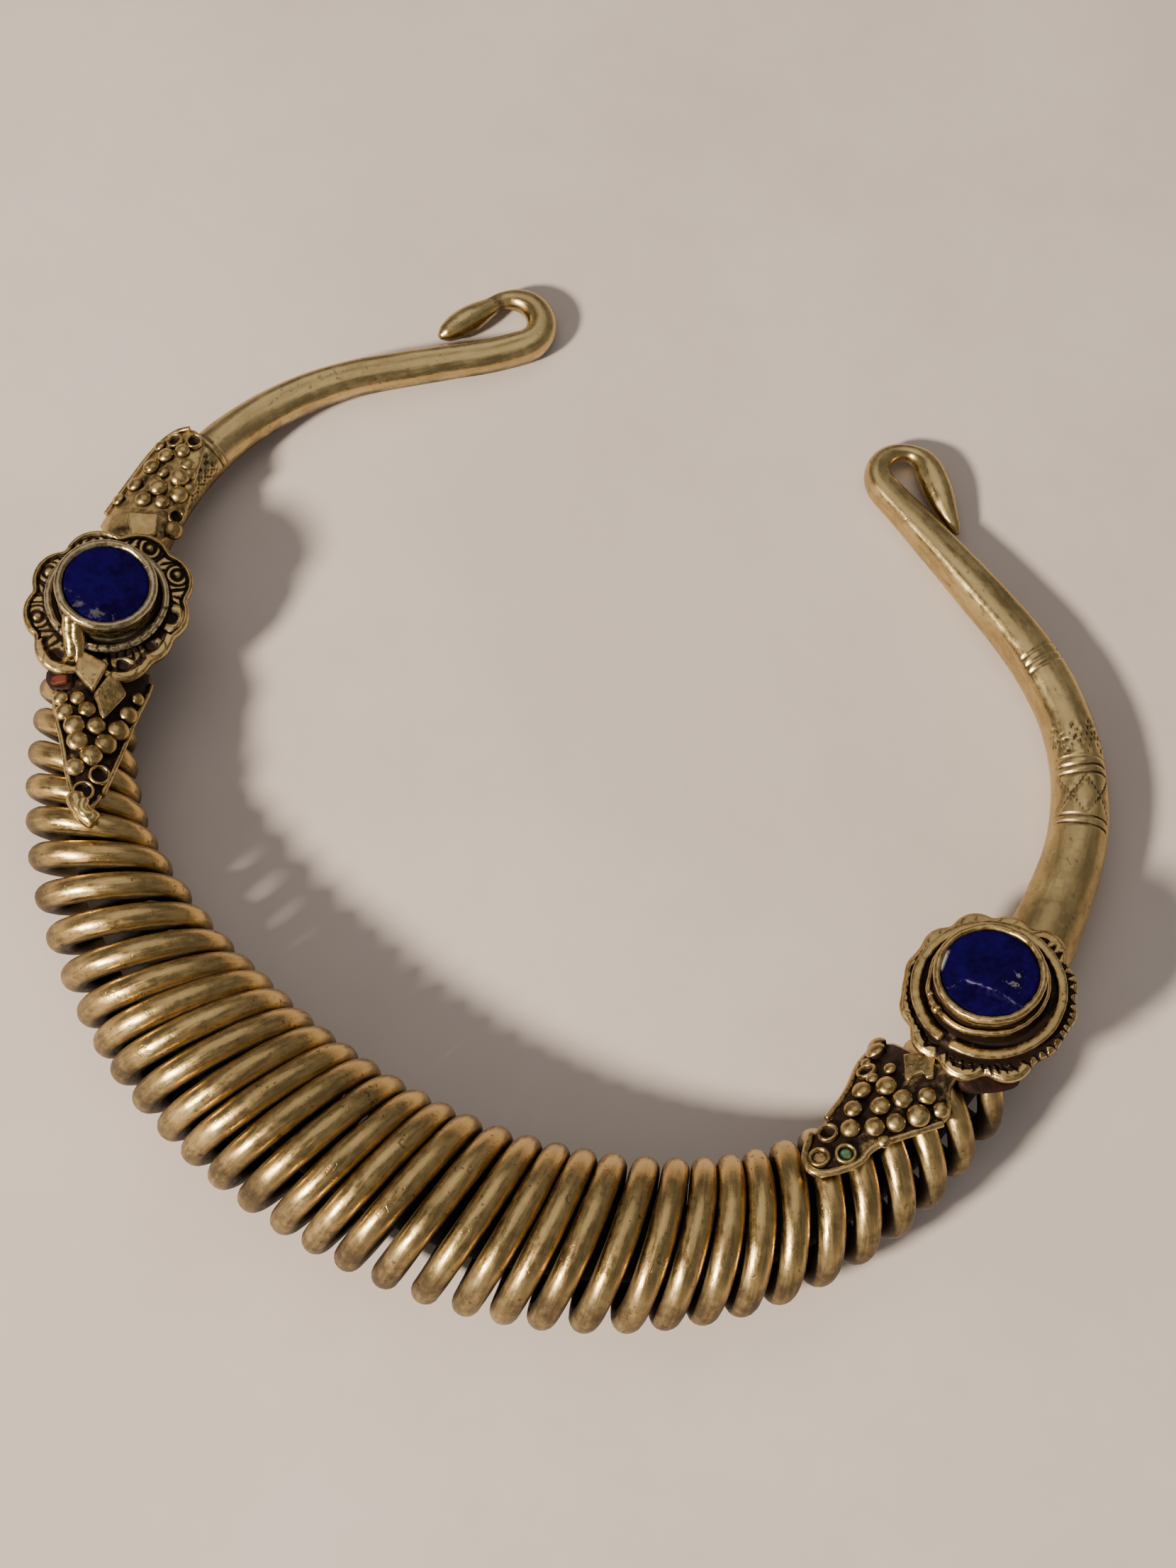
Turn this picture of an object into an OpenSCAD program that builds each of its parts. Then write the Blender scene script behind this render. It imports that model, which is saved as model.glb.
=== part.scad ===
// Rigid open neck ring of aged brass: a thick wire spring round a core rod makes the front,
// two forged arms with curled hooks make the back, and a round blue stone in a stepped
// setting covers each end of the spring. Millimetres. It lies on its spring and its hooks.

/* [Spring] */
// Thickness of the round wire of the spring
wire_d = 3.4; // [2.8:0.05:3.6]
// Height of the spring as a share of its width
flatness = 0.82; // [0.76:0.01:0.96]
// How far a turn leans along the ring, from its outer to its inner side
slant = 5.0; // [3:0.1:6]
// Clearance between the core and the inside of the spring
core_gap = 0.4; // [0.2:0.05:1]
// Largest radius of the core
core_r = 5.2; // [2.5:0.1:5.6]

/* [Settings] */
// Radius of the left stone
left_stone_r = 6.22; // [5:0.02:6.3]
// Radius of the right stone
right_stone_r = 6.73; // [5.5:0.01:6.75]
// Thickness of the scalloped plates
plate_t = 0.9; // [0.6:0.1:1.4]
// Thickness of the two curved plates that lie on the spring
leaf_t = 0.8; // [0.6:0.05:1]

/* [Arms] */
// Thickness of the arms as a share of the real one
arm_scale = 1; // [0.85:0.01:1.05]
// Sides of an arm
arm_sides = 12; // [8:2:16]

/* [Hidden] */

$fn = 48;
wire_sides = 7;
steps_per_turn = 14;
gap = 0.05;

// The ring is drawn flat, x to the right arm and y to the hooks; mid is the middle of the spring.
mid = [8.1, -67.1];
// Bending plans from the middle outwards. Columns: length of the stretch, degrees it turns.
// The last rows of each side bend the hook outwards and back.
right_plan = [[38.5, 29.4], [34.2, 40.5], [48, 22.1], [32, 46], [12, 12], [27, 3], [2, -8],
    [14, -192], [6, -3], [8, 9]];
left_plan = [[63.9, 40.5], [22.2, 23.9], [43, 27.7], [40, 50], [16, 3], [9, -12], [15.5, -192],
    [11, -3]];

// The spring. Columns: place along the ring (left is negative), outer radius there.
coil_radius = [[-97, 7.3], [-75, 8.5], [-60, 10.5], [-40, 12.7], [-20, 13.35], [0, 13.3],
    [20, 12.7], [40, 11.4], [60, 9.8], [80, 8.8], [95, 8.4]];
// Its turns are not evenly spaced. Columns: turn, place along the ring.
turn_place = [[0, -97.9], [4, -78.4], [6, -69], [10, -46.2], [12, -38.1], [15, -23.9], [16, -20.1],
    [18, -10], [20, -1.5], [23, 14], [25, 22.5], [27, 33], [31, 50.9], [35, 72.4], [38, 89.9]];
turns = 38;
// Turns where one length of wire ends and the next begins, and the gap in parts of a turn.
wire_cuts = [9.5, 18.5, 27.5];
cut_gap = 0.003;
top_shift = 0.3;

// The arms. Columns: distance from the middle, radius there. The first rows are the collar that
// closes the end of the spring, the last ones the neck and the bud of the hook.
left_arm_radius = [[102.3, 6.0], [103.8, 6.0], [104.2, 4.5], [121, 4.0], [143, 3.4], [163, 2.95],
    [183, 2.75], [194, 2.65], [200, 2.45], [205, 1.95], [208.5, 1.4], [210.5, 1.35], [213, 2.0],
    [216, 2.3], [219, 1.8], [220.7, 0.9]];
right_arm_radius = [[91.5, 7.1], [93, 7.1], [93.4, 5.4], [109, 5.2], [121, 4.6], [147, 3.9],
    [157, 3.7], [174, 3.25], [184, 2.75], [190, 2.5], [195, 2.3], [199, 1.7], [202.5, 1.3],
    [204.5, 1.4], [207, 2.2], [210.5, 2.5], [214, 2.15], [217.5, 1.3], [220, 0.6]];
left_stations = [for (r = [[102.3, 1.5, 104], [104.2, 6, 105], [110, 6, 189], [193, 1.6, 220],
    [220.7, 1, 221]]) for (s = [r[0] : r[1] : r[2]]) s];
right_stations = [for (r = [[91.5, 1.5, 93.2], [93.4, 6, 94], [99, 6, 188], [192, 1.6, 219.5],
    [220, 1, 220.5]]) for (s = [r[0] : r[1] : r[2]]) s];

// It leans back until the spring and both hooks touch the ground.
belly = flatness*(lookup(0, coil_radius) - wire_d/2) + wire_d/2;
lean = atan((belly - 2.32)/137.5);
shift = [0.136, -63.53];

// The core swells with the spring.
function core_radius(s) = min(core_r,
    flatness*(lookup(s, coil_radius) - wire_d/2) - wire_d/2 - core_gap);

// Settings: foot of the plate on the ring, how far it leans to the hooks and to the inside.
left_foot = [-69.99, -8.0, 6.78];
left_lean = [2.6, 5];
right_foot = [69.45, -10.23, 7.44];
right_lean = [5.1, 11.7];
// Scallops of the two plates. Columns: direction, distance of their middle.
left_lobes = [[-100, 8.9], [-138, 7.5], [178, 7.0], [130, 7.3], [84, 8.1], [52, 8.4], [14, 7.3],
    [-20, 7.2], [-48, 8.4]];
right_lobes = [[-120, 9.4], [-90, 10.0], [-57, 9.8], [-24, 8.6], [4, 8.7], [31, 8.9], [62, 10.0],
    [92, 9.4], [119, 9.5], [148, 9.0], [177, 8.6], [-149, 8.8]];

// Curved plates: start on the axis of the ring, direction, slope, roll, height of the crest
// above the axis and radius of the curve.
left_seat = [[-68.9, -16.0, 0], -152.7, 2.6, -16, 7.4, 12.5];
right_seat = [[71.2, -18.6, 0], 154.6, 2.3, 20, 8.5, 12.5];
arm_seat = [[-72.7, 5.9, 0], -2.1, -2.7, 0, 5.25, 8.5];

left_leaf_edge = [[-7.9, 1.6], [-7.6, 5.3], [-5.2, 11.3], [-3.7, 16.3], [-1.0, 23.9], [1.7, 27.4],
    [4.0, 22.0], [5.4, 13.4], [6.6, 9.6], [6.5, 7.3], [4.3, 7.1], [4.3, 2.6], [1.3, 1.0],
    [-2.0, 2.2]];
right_leaf_edge = [[11.0, 6.8], [8.5, 6.4], [5.2, 6.7], [2.0, 6.4], [-1.0, 5.4], [-3.4, 4.6],
    [-3.9, 7.2], [-6.4, 9.6], [-6.7, 11.4], [-4.7, 17.0], [-3.0, 21.4], [-3.9, 24.3],
    [-1.4, 29.9], [1.6, 29.8], [4.4, 25.6], [4.6, 22.3], [5.8, 17.1], [10.0, 11.4]];
arm_leaf_edge = [[-6.9, -2.6], [-6.6, 6.0], [-6.2, 13.8], [-4.5, 17.8], [-2.1, 19.3], [0.8, 18.4],
    [2.1, 15.4], [3.0, 11.6], [4.2, 7.8], [5.2, 4.4], [3.4, -2.6]];

// Grains. Columns: across, along, radius.
left_grains = [[5.3, 8.5, 0.95], [4.5, 10.8, 1.15], [3.3, 13.1, 1.2], [2.8, 15.7, 1.25],
    [0.9, 18.0, 1.3], [3.0, 19.8, 1.15], [-1.0, 15.9, 1.3], [0.4, 13.1, 1.2], [1.7, 10.5, 1.1],
    [3.0, 8.6, 1.0], [-2.6, 13.4, 1.2], [-3.9, 10.6, 1.05]];
right_grains = [[4.0, 16.1, 1.2], [1.9, 13.5, 1.3], [-1.0, 13.4, 1.2], [-2.8, 10.7, 1.1],
    [-5.2, 10.6, 1.0], [-4.0, 13.6, 1.4], [-2.8, 16.6, 1.2], [0.3, 16.3, 1.2], [2.6, 19.1, 1.15],
    [0.6, 21.6, 1.2], [-1.4, 19.1, 1.2], [3.9, 10.9, 0.8], [8.2, 9.3, 1.3]];
arm_grains = [[-2.8, 12.9, 1.1], [-3.7, 10.3, 1.2], [1.0, 10.2, 1.3], [-4.4, 6.6, 1.1],
    [-0.8, 7.2, 1.25], [2.3, 7.7, 1.2], [-1.7, 4.4, 1.1], [0.9, 5.3, 1.0], [-5.6, 3.6, 0.9],
    [-1.0, 14.7, 1.0]];
// Ring cups. Columns: across, along, outer radius.
left_cups = [[-0.3, 20.9, 1.5], [1.6, 23.6, 1.4]];
right_cups = [[2.2, 24.0, 1.5], [0.3, 27.5, 1.5], [-1.4, 24.6, 1.3], [6.3, 13.0, 1.5]];
arm_cups = [[3.6, 4.4, 1.3], [-0.3, 17.0, 1.3], [-3.0, 16.0, 1.3]];
// Small flat plates on the curved ones, by their corners.
left_tiles = [[[3.3, 2.4], [3.8, 3.6], [1.3, 6.6], [-1.1, 2.9]],
    [[-1.5, 3.5], [1.5, 7.3], [-0.5, 11.9], [-4.0, 6.9]]];
right_tiles = [[[4.3, 8.6], [1.5, 6.6], [-1.3, 8.9], [1.2, 11.3]]];
arm_tiles = [[[-3.1, 2.0], [0.9, 3.7], [2.4, 1.5], [1.0, -0.5], [-2.2, -0.5]]];

// Colours
brass = [0.62, 0.50, 0.30];
dark_brass = [0.34, 0.26, 0.15];
blue = [0.05, 0.04, 0.32];
resin = [0.20, 0.07, 0.05];

// Where the ring goes. A place is [x, y, heading].
function step(p, len, turn) = abs(turn) < 0.01
    ? [p[0] + len*cos(p[2]), p[1] + len*sin(p[2]), p[2]]
    : let (r = len*180/PI/turn, h = p[2] + turn)
      [p[0] + r*(sin(h) - sin(p[2])), p[1] + r*(cos(p[2]) - cos(h)), h];

function along(plan, s, n = 0, p = [0, 0, 0]) = let (row = plan[n])
    n == len(plan) - 1 || s <= row[0]
    ? step(p, s, row[1]*s/row[0])
    : along(plan, s - row[0], n + 1, step(p, row[0], row[1]));

function axis(s) = s >= 0
    ? let (p = along(right_plan, s)) [mid[0] + p[0], mid[1] + p[1], p[2]]
    : let (p = along(left_plan, -s)) [mid[0] - p[0], mid[1] + p[1], -p[2]];

function unit(v) = v/norm(v);

// One place on the middle line of the spring wire, t runs from 0 to 1.
function wire_point(t) = let (
    s = lookup(turns*t, turn_place),
    a = 360*turns*t,
    r = lookup(s, coil_radius) - wire_d/2,
    q = axis(s - slant/2*cos(a) + top_shift*sin(a)))
    [q[0] + r*cos(a)*sin(q[2]), q[1] - r*cos(a)*cos(q[2]), flatness*r*sin(a)];

// Out from the axis at the same place.
function wire_out(t) = let (
    s = lookup(turns*t, turn_place),
    a = 360*turns*t,
    q = axis(s))
    [cos(a)*sin(q[2]), -cos(a)*cos(q[2]), sin(a)];

function wire_ring(t) = let (
    p = wire_point(t),
    ahead = unit(wire_point(t + 0.0002) - wire_point(t - 0.0002)),
    o = wire_out(t),
    out = unit(o - (o*ahead)*ahead),
    side = cross(out, ahead))
    [for (i = [0 : wire_sides - 1]) let (b = 360*i/wire_sides)
        p + wire_d/2*(cos(b)*out + sin(b)*side)];

// A round section of a bar that follows the ring.
function bar_ring(s, r, sides) = let (q = axis(s))
    [for (i = [0 : sides - 1]) let (b = 360*i/sides)
        [q[0] + r*cos(b)*sin(q[2]), q[1] - r*cos(b)*cos(q[2]), r*sin(b)]];

// Closes a row of rings of points into a solid.
module skin(rings) {
    n = len(rings[0]);
    m = len(rings);
    points = [for (ring = rings) for (p = ring) p];
    walls = [for (j = [0 : m - 2]) for (i = [0 : n - 1]) let (k = (i + 1) % n)
        for (f = [[j*n + i, j*n + k, j*n + n + i], [j*n + k, j*n + n + k, j*n + n + i]]) f];
    ends = [[for (i = [n - 1 : -1 : 0]) i], [for (i = [0 : n - 1]) (m - 1)*n + i]];
    polyhedron(points, concat(walls, ends), convexity = 10);
}

// From the drawing of the ring to the way it lies.
module lying() {
    translate([shift[0], shift[1], belly + 0.056]) rotate([-lean, 0, 0]) translate([0, -mid[1], 0])
        children();
}

module setting_place(foot, tilt, inward) {
    translate(foot) rotate([-tilt, 0, 0]) rotate([0, inward, 0]) children();
}

// On the curved plates: y runs away from the setting, z = 0 is the axis of the ring.
module seat_place(seat) {
    translate(seat[0]) rotate([0, 0, seat[1]]) rotate([seat[2], 0, 0]) rotate([0, seat[3], 0])
        children();
}

// On the curved face of a plate, z outwards.
module on_face(seat, across, along) {
    translate([0, along, seat[4] - seat[5]]) rotate([0, asin(across/seat[5]), 0])
        translate([0, 0, seat[5]]) children();
}

module shell(inner, outer, from, to) {
    translate([0, from, 0]) rotate([-90, 0, 0]) difference() {
        cylinder(r = outer, h = to - from, $fn = 96);
        translate([0, 0, -1]) cylinder(r = inner, h = to - from + 2, $fn = 96);
    }
}

module tile(seat, corners) {
    c = [for (k = [0, 1]) (corners[0][k] + corners[1][k] + corners[2][k] + corners[3][k])/4];
    on_face(seat, c[0], c[1]) translate([-c[0], -c[1], -0.6]) linear_extrude(1.0) polygon(corners);
}

module cup(seat, row) {
    on_face(seat, row[0], row[1]) translate([0, 0, -0.45]) difference() {
        cylinder(r = row[2], h = 1.35, $fn = 32);
        translate([0, 0, 0.8]) cylinder(r = row[2] - 0.6, h = 1, $fn = 32);
    }
}

module grain(seat, row) {
    on_face(seat, row[0], row[1]) translate([0, 0, 0.35*row[2]]) sphere(r = row[2], $fn = 32);
}

// Moves the two end points of a line a little inwards.
function shorter(line) = let (n = len(line) - 1)
    [for (i = [0 : n]) i == 0 ? 0.88*line[0] + 0.12*line[1]
        : i == n ? 0.88*line[n] + 0.12*line[n - 1] : line[i]];

// Raised border along a stretch of the edge, from one corner to another.
module border(seat, edge, from, to, width) {
    out = grown(edge, 0.1);
    in = grown(edge, -width);
    strip = concat(shorter([for (i = [from : to]) out[i]]), [for (i = [to : -1 : from]) in[i]]);
    intersection() {
        translate([0, 0, -4]) linear_extrude(seat[4] + 6) polygon(strip);
        translate([0, 0, seat[4] - seat[5]]) shell(seat[5] - 0.4, seat[5] + 0.4, -5, 35);
    }
}

module leaf(seat, edge, thick, grains, cups, tiles) {
    intersection() {
        translate([0, 0, -4]) linear_extrude(seat[4] + 6) polygon(edge);
        translate([0, 0, seat[4] - seat[5]]) shell(seat[5] - thick, seat[5], -5, 35);
    }
    for (row = grains) grain(seat, row);
    for (row = cups) cup(seat, row);
    for (corners = tiles) tile(seat, corners);
}

// A little larger outline, to let a plate into another one.
function grown(edge, by) = let (
    c = [for (k = [0, 1]) let (v = [for (p = edge) p[k]]) (min(v) + max(v))/2])
    [for (p = edge) p + by*unit(p - c)];

module bead(big, small, height) {
    translate([0, 0, height]) rotate_extrude($fn = 72) translate([big, 0]) circle(r = small, $fn = 20);
}

module turned(profile) {
    rotate_extrude($fn = 72) polygon(profile);
}

module lobes(rows, r) {
    for (row = rows) rotate([0, 0, row[0]]) translate([row[1], 0]) circle(r = r);
}

// A length of the spring wire, from one turn to another. It takes four of them to go round,
// so that no length bends far round the neck.
module wire_length(from, to) {
    count = ceil((to - from)*steps_per_turn);
    skin([for (i = [0 : count]) wire_ring((from + (to - from)*i/count)/turns)]);
}

module spiral_wire_1() {
    color(brass) lying() wire_length(0, wire_cuts[0]);
}

module spiral_wire_2() {
    color(brass) lying() wire_length(wire_cuts[0] + cut_gap, wire_cuts[1]);
}

module spiral_wire_3() {
    color(brass) lying() wire_length(wire_cuts[1] + cut_gap, wire_cuts[2]);
}

module spiral_wire_4() {
    color(brass) lying() wire_length(wire_cuts[2] + cut_gap, turns);
}

module core_rod() {
    first = -left_arm_radius[0][0] + gap;
    last = right_arm_radius[0][0] - gap;
    color(dark_brass) lying()
        skin([for (i = [0 : 64]) let (s = first + (last - first)*i/64)
            bar_ring(s, core_radius(s), 10)]);
}

module left_arm() {
    n = len(left_stations);
    color(brass) lying() skin([for (i = [n - 1 : -1 : 0]) let (s = left_stations[i])
        bar_ring(-s, arm_scale*lookup(s, left_arm_radius), arm_sides)]);
}

module right_arm() {
    color(brass) lying() skin([for (s = right_stations)
        bar_ring(s, arm_scale*lookup(s, right_arm_radius), arm_sides)]);
}

// Foot of a setting: a block that reaches down onto the arm.
module arm_room(s, r) {
    q = axis(s);
    translate([q[0], q[1], 0]) rotate([0, 0, q[2]]) rotate([0, 90, 0])
        translate([0, 0, -12]) cylinder(r = r, h = 24);
}

module left_setting() {
    difference() {
        union() {
            linear_extrude(plate_t) {
                circle(r = 10.2);
                lobes(left_lobes, 4.9);
            }
            turned([[0, 0.3], [8.5, 0.3], [8.5, 3.8], [7.9, 3.8], [7.9, 3.4], [7.1, 3.4],
                [7.1, 6.3], [6.8, 6.6], [0, 6.6]]);
            bead(8.45, 0.55, 3.9);
            bead(6.86, 0.6, 6.35);
        }
        translate([0, 0, 5.05]) cylinder(r = left_stone_r + 0.08, h = 3);
        for (row = left_lobes) rotate([0, 0, row[0]]) translate([row[1] + 2.9, 0, plate_t - 0.4])
            cylinder(r = 1.45, h = 1, $fn = 32);
    }
    for (row = left_lobes) rotate([0, 0, row[0]]) translate([row[1] + 2.9, 0, 0.45])
        sphere(r = 0.8, $fn = 32);
}

module left_medallion() {
    color(brass) lying() difference() {
        union() {
            setting_place(left_foot, left_lean[0], left_lean[1]) left_setting();
            translate([-71.7, -4.4, 2.6]) cylinder(r = 4.3, h = 4.7);
        }
        arm_room(-111, 4.62);
        seat_place(left_seat) translate([0, 0, -2]) linear_extrude(14)
            polygon(grown(left_leaf_edge, 0.25));
    }
}

module left_stone() {
    t = 1.5;
    color(blue) lying() setting_place(left_foot, left_lean[0], left_lean[1])
        translate([0, 0, 5.08]) turned([[0, 0], [left_stone_r, 0], [left_stone_r, t - 0.25],
            [left_stone_r - 0.35, t - 0.03], [0, t]]);
}

module right_setting() {
    difference() {
        union() {
            linear_extrude(plate_t) {
                circle(r = 12);
                lobes(right_lobes, 3.7);
            }
            turned([[0, 0.3], [9.9, 0.3], [9.9, 2.5], [9.3, 2.5], [9.3, 2.1], [8.1, 2.1],
                [8.1, 4.9], [7.6, 4.9], [7.6, 4.6], [7.45, 4.6], [7.45, 7.2], [0, 7.2]]);
            bead(9.95, 0.8, 2.5);
            bead(8.05, 0.35, 4.9);
            bead(7.25, 0.5, 7.25);
        }
        translate([0, 0, 6.0]) cylinder(r = right_stone_r + 0.07, h = 3);
        // the open joint of the thick wire
        rotate([0, 0, -107]) translate([10.6, 0, 2.7]) cube([1.7, 0.9, 1.9], center = true);
        difference() {
            translate([0, 0, plate_t - 0.35]) linear_extrude(1) {
                circle(r = 11.3);
                lobes(right_lobes, 2.95);
            }
            translate([0, 0, -1]) cylinder(r = 10.8, h = 4);
        }
    }
}

module right_medallion() {
    color(brass) lying() difference() {
        union() {
            setting_place(right_foot, right_lean[0], -right_lean[1]) right_setting();
            translate([73.2, -3.6, 3.2]) cylinder(r = 4.2, h = 4.9);
        }
        arm_room(101, 5.56);
        seat_place(right_seat) translate([0, 0, -2]) linear_extrude(14)
            polygon(grown(right_leaf_edge, 0.25));
    }
}

module right_stone() {
    t = 1.4;
    color(blue) lying() setting_place(right_foot, right_lean[0], -right_lean[1])
        translate([0, 0, 6.03]) turned([[0, 0], [right_stone_r, 0], [right_stone_r, t - 0.25],
            [right_stone_r - 0.35, t - 0.03], [0, t]]);
}

module left_coil_leaf() {
    e = left_leaf_edge;
    color(brass) lying() seat_place(left_seat) {
        leaf(left_seat, e, leaf_t, left_grains, left_cups, left_tiles);
        border(left_seat, e, 1, 7, 0.8);
    }
}

module right_coil_leaf() {
    e = right_leaf_edge;
    color(brass) lying() seat_place(right_seat) {
        leaf(right_seat, e, leaf_t, right_grains, right_cups, right_tiles);
        border(right_seat, e, 7, 13, 0.6);
    }
}

// Glass in one of the ring cups.
module right_inlay() {
    color([0.10, 0.25, 0.12]) lying() seat_place(right_seat)
        on_face(right_seat, right_cups[0][0], right_cups[0][1]) translate([0, 0, 0.4])
            cylinder(r = 0.8, h = 0.3, $fn = 24);
}

module left_arm_leaf() {
    e = arm_leaf_edge;
    color(brass) lying() seat_place(arm_seat) {
        leaf(arm_seat, e, 0.7, arm_grains, arm_cups, arm_tiles);
        border(arm_seat, e, 1, 4, 0.8);
    }
}

// Dark filling that shows beside the plates, moulded on the spring.
module bed(middle, inner, outer, low, edge) {
    intersection() {
        translate([0, 0, low]) linear_extrude(12 - low) polygon(edge);
        translate([middle, 0, 0]) shell(inner, outer, -6, 14);
    }
}

module left_bed() {
    color(resin) lying() difference() {
        seat_place(left_seat)
            bed(0.9, 6.8, 8.4, 4, [[4.55, 3.6], [7.6, 3.6], [7.7, 6.6], [6.9, 7.0], [4.55, 6.7]]);
        setting_place(left_foot, left_lean[0], left_lean[1]) translate([0, 0, -0.15])
            cylinder(r = 14, h = 5);
    }
}

module left_chip() {
    color([0.62, 0.20, 0.10]) lying() seat_place(left_seat)
        translate([0.9, 5.95, 0]) rotate([0, asin(4.6/8.4), 0]) translate([0, 0, 8.43 + 0.4])
            cube([2.5, 1.3, 0.8], center = true);
}

module right_bed() {
    color(resin) lying() difference() {
        seat_place(right_seat)
            bed(-1.1, 7.4, 9.8, 4.6, [[-4.3, 2.8], [-4.2, 7.3], [-5.8, 7.4], [-7.2, 5.2], [-8.2, 3.5],
                [-9.0, 0.3], [-9.3, -1.9], [-6.6, -1.9]]);
        setting_place(right_foot, right_lean[0], -right_lean[1]) translate([0, 0, -0.15])
            cylinder(r = 14, h = 5);
    }
}

left_arm();
left_arm_leaf();
left_medallion();
left_stone();
left_coil_leaf();
left_bed();
left_chip();
spiral_wire_1();
spiral_wire_2();
spiral_wire_3();
spiral_wire_4();
core_rod();
right_coil_leaf();
right_inlay();
right_medallion();
right_stone();
right_bed();
right_arm();
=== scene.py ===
import math
import bmesh
import bpy
import numpy as np
from mathutils import Matrix, Vector
from mathutils.geometry import delaunay_2d_cdt


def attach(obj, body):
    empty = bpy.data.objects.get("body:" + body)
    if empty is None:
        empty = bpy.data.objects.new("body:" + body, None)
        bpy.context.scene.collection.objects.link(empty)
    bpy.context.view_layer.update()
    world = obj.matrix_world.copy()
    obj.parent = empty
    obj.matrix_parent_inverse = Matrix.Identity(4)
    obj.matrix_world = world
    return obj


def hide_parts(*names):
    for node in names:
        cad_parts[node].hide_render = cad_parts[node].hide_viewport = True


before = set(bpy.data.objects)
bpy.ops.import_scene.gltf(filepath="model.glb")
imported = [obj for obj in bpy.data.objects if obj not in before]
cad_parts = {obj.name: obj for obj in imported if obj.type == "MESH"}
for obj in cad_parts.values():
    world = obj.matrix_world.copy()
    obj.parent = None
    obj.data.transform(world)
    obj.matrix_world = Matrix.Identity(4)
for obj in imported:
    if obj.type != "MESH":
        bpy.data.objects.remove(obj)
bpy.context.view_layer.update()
rng = np.random.default_rng(7)
MM = 0.001
SAME = 1e-4      # points nearer than this, in mm, are one point

# The ring, in millimetres. Places along the middle line count from the lowest point, right is plus.
MID = (8.1, -67.1)
# each half of the middle line as joined arcs: length and turn in degrees
RIGHT_PLAN = [(38.5, 29.4), (34.2, 40.5), (48, 22.1), (32, 46), (12, 12), (27, 3), (2, -8),
              (14, -192), (6, -3), (8, 9)]
LEFT_PLAN = [(63.9, 40.5), (22.2, 23.9), (43, 27.7), (40, 50), (16, 3), (9, -12), (15.5, -192),
             (11, -3)]
TABLE_STEP, LAST_RUN = 0.1, 6.0
WIRE_D, FLAT, SLANT, TURNS, TOP_SHIFT = 3.4, 0.82, 5.0, 37.45, 0.3
WIDEST = 13.3
# outer radius of the spring at places along the ring
COIL_R = [(-97, 7.3), (-75, 8.5), (-60, 10.5), (-40, 12.7), (-20, 13.35), (0, WIDEST), (20, 12.7),
          (40, 11.4), (60, 9.8), (80, 8.8), (95, 8.4)]
# place of the turns along the ring
TURN_PLACE = [(0, -97.9), (4, -78.4), (6, -69), (10, -46.2), (12, -38.1), (15, -23.9),
              (16, -20.1), (18, -10), (20, -1.5), (23, 14), (25, 22.5), (27, 33), (31, 50.9),
              (35, 72.4), (37, 84.1), (37.25, 87.8), (37.45, 90.0)]
# thickness of the spring wire, and how much of the room between two turns it may fill
WIRE_ROWS = [(-98, 3.4), (-80, 3.75), (-58, 3.95), (58, 3.95), (78, 3.75), (92, 3.55)]
CLOSE = 0.975
# radius of the arms, from the medallion to the bud
LEFT_ARM_R = [(102.3, 6.0), (103.8, 6.0), (104.2, 4.5), (121, 4.0), (143, 3.4), (163, 2.95),
              (183, 2.75), (194, 2.65), (200, 2.45), (205, 1.95), (208.5, 1.4), (210.5, 1.35),
              (213, 2.0), (216, 2.3), (219, 1.8), (220.7, 0.9)]
RIGHT_ARM_R = [(91.5, 4.6), (93, 4.6), (94.5, 5.4), (109, 5.2), (121, 4.6), (147, 3.9),
               (157, 3.7), (174, 3.25), (184, 2.75), (190, 2.5), (195, 2.3), (199, 1.7),
               (202.5, 1.3), (204.5, 1.4), (207, 2.2), (210.5, 2.5), (214, 2.15), (217.5, 1.3),
               (220, 0.6)]
WIRE_NODES = tuple(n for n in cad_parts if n.startswith("spiral_wire"))
# the ring lies on the belly of the spring and on the hooks
BELLY = FLAT*(WIDEST - WIRE_D/2) + WIRE_D/2
HOOK_HEIGHT, HOOK_REACH, FLOOR_GAP = 2.32, 137.5, 0.056
LEAN = math.atan((BELLY - HOOK_HEIGHT)/HOOK_REACH)
SHIFT = (0.136, -63.53)
# scallops of the medallions: angle in degrees and distance from the middle
LEFT_LOBES = [(-100, 8.9), (-138, 7.5), (178, 7.0), (130, 7.3), (84, 8.1), (52, 8.4), (14, 7.3),
              (-20, 7.2), (-48, 8.4)]
RIGHT_LOBES = [(-120, 9.4), (-90, 10.0), (-57, 9.8), (-24, 8.6), (4, 8.7), (31, 8.9), (62, 10.0),
               (92, 9.4), (119, 9.5), (148, 9.0), (177, 8.6), (-149, 8.8)]
# feet of the medallions and how they lean
LEFT_FOOT, LEFT_LEAN = (-69.99, -8.0, 6.78), (2.6, 5)
RIGHT_FOOT, RIGHT_LEAN = (69.45, -10.23, 7.44), (5.1, -11.7)
# seats of the leaves: place, turn and two leans, height of the face, radius of its curve
LEFT_SEAT = ((-68.9, -16.0, 0), -152.7, 2.6, -16, 7.4, 12.5)
RIGHT_SEAT = ((71.2, -18.6, 0), 154.6, 2.3, 20, 8.5, 12.5)
ARM_SEAT = ((-72.7, 5.9, 0), -2.1, -2.7, 0, 5.25, 8.5)


def walk(plan):
    """Rows of place, x, y and heading along joined arcs."""
    s = x = y = h = 0.0
    rows = [(s, x, y, h)]
    for length, turn in plan + [(LAST_RUN, 0)]:
        n = round(length/TABLE_STEP)
        for _ in range(n):
            h += math.radians(turn)/n/2
            x += length/n*math.cos(h)
            y += length/n*math.sin(h)
            h += math.radians(turn)/n/2
            s += length/n
            rows.append((s, x, y, h))
    return np.array(rows)


AXIS = np.vstack([walk(LEFT_PLAN)[:0:-1]*(-1, -1, 1, -1), walk(RIGHT_PLAN)])


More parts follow.
